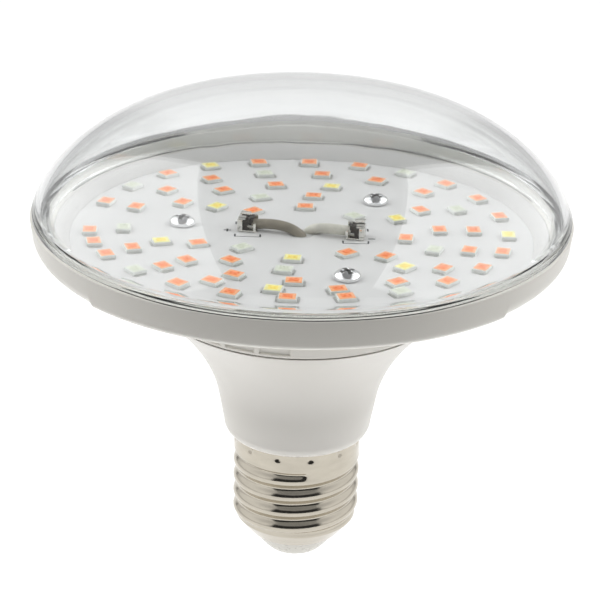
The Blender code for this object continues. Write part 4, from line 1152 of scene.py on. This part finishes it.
def build_lights():
    """Two large softboxes beside the lamp, one before it, a top light and a glow from the table.

    Each side softbox is three lights: one that metal mirrors, one that only the clear cover
    mirrors, and one for matt surfaces. The light before the lamp is for the cover alone.
    """
    target = Vector((0.0, 0.0, JOINT_Z))
    mirroring = bpy.data.collections.new("clear_parts")
    mirroring.objects.link(bpy.data.objects["cover_dome"])
    hidden = []
    for sign in (-1, 1):
        rise = math.radians(BOX_ELEVATION)
        away = polar(math.cos(rise), sign * BOX_AZIMUTH, math.sin(rise))
        place = target + away * BOX_DISTANCE
        mirrored = area_light("softbox", place, -away, BOX_SIZE, BOX_RADIANCE)
        mirrored.visible_diffuse = False
        behind = place + away * SIDE_BEHIND
        last = behind + away * SIDE_BEHIND
        on_cover = area_light("cover_softbox", last, -away, BOX_SIZE, COVER_BOX_RADIANCE)
        on_cover.visible_diffuse = False
        on_cover.light_linking.receiver_collection = mirroring
        hidden.append(area_light("side_light", behind, -away, BOX_SIZE, SIDE_RADIANCE))
    rise = math.radians(FRONT_ELEVATION)
    away = polar(math.cos(rise), 0.0, math.sin(rise))
    front_place = target + away * BOX_DISTANCE
    front = area_light("cover_front_light", front_place, -away, FRONT_SIZE, FRONT_RADIANCE)
    front.visible_diffuse = False
    front.light_linking.receiver_collection = mirroring
    down = Vector((0.0, 0.0, -1.0))
    top_place = target - down * TOP_HEIGHT
    hidden.append(area_light("top_light", top_place, down, (TOP_SIZE, TOP_SIZE), TOP_RADIANCE))
    glow_place = Vector((0.0, 0.0, TABLE_Z))
    glow_size = (2 * TABLE_RADIUS, 2 * TABLE_RADIUS)
    hidden.append(area_light("table_glow", glow_place, -down, glow_size, TABLE_RADIANCE))
    for light in hidden:
        light.visible_glossy = False
        light.visible_transmission = False


def area_light(name, place, direction, size, radiance):
    """A rectangular light of a given radiance that the camera doesn't see."""
    data = bpy.data.lights.new(name, 'AREA')
    data.shape = 'RECTANGLE'
    data.size, data.size_y = size
    data.energy = radiance * math.pi * size[0] * size[1]
    light = bpy.data.objects.new(name, data)
    light.location = place
    light.rotation_euler = direction.to_track_quat('-Z', 'Y').to_euler()
    light.visible_camera = False
    bpy.context.scene.collection.objects.link(light)
    return light


# One white plastic in two copies: the neck's is darker, painted shade that offsets the strong glow from below on
# the neck
housing_white = white_plastic("housing_white", (0.655, 0.637, 0.593))
neck_shaded_white = white_plastic("neck_shaded_white", (0.50, 0.484, 0.452))
build_cover()
build_housing(housing_white)
build_neck(neck_shaded_white)
build_painted_shade_rings_and_plug()
build_cap()
build_insulator()
build_contact()
build_board()
build_screws()
build_terminals()
build_leads()
dress_inner_nodes()
build_camera()
build_world()
build_floor()
build_lights()

bpy.context.scene.view_settings.view_transform = 'Standard'
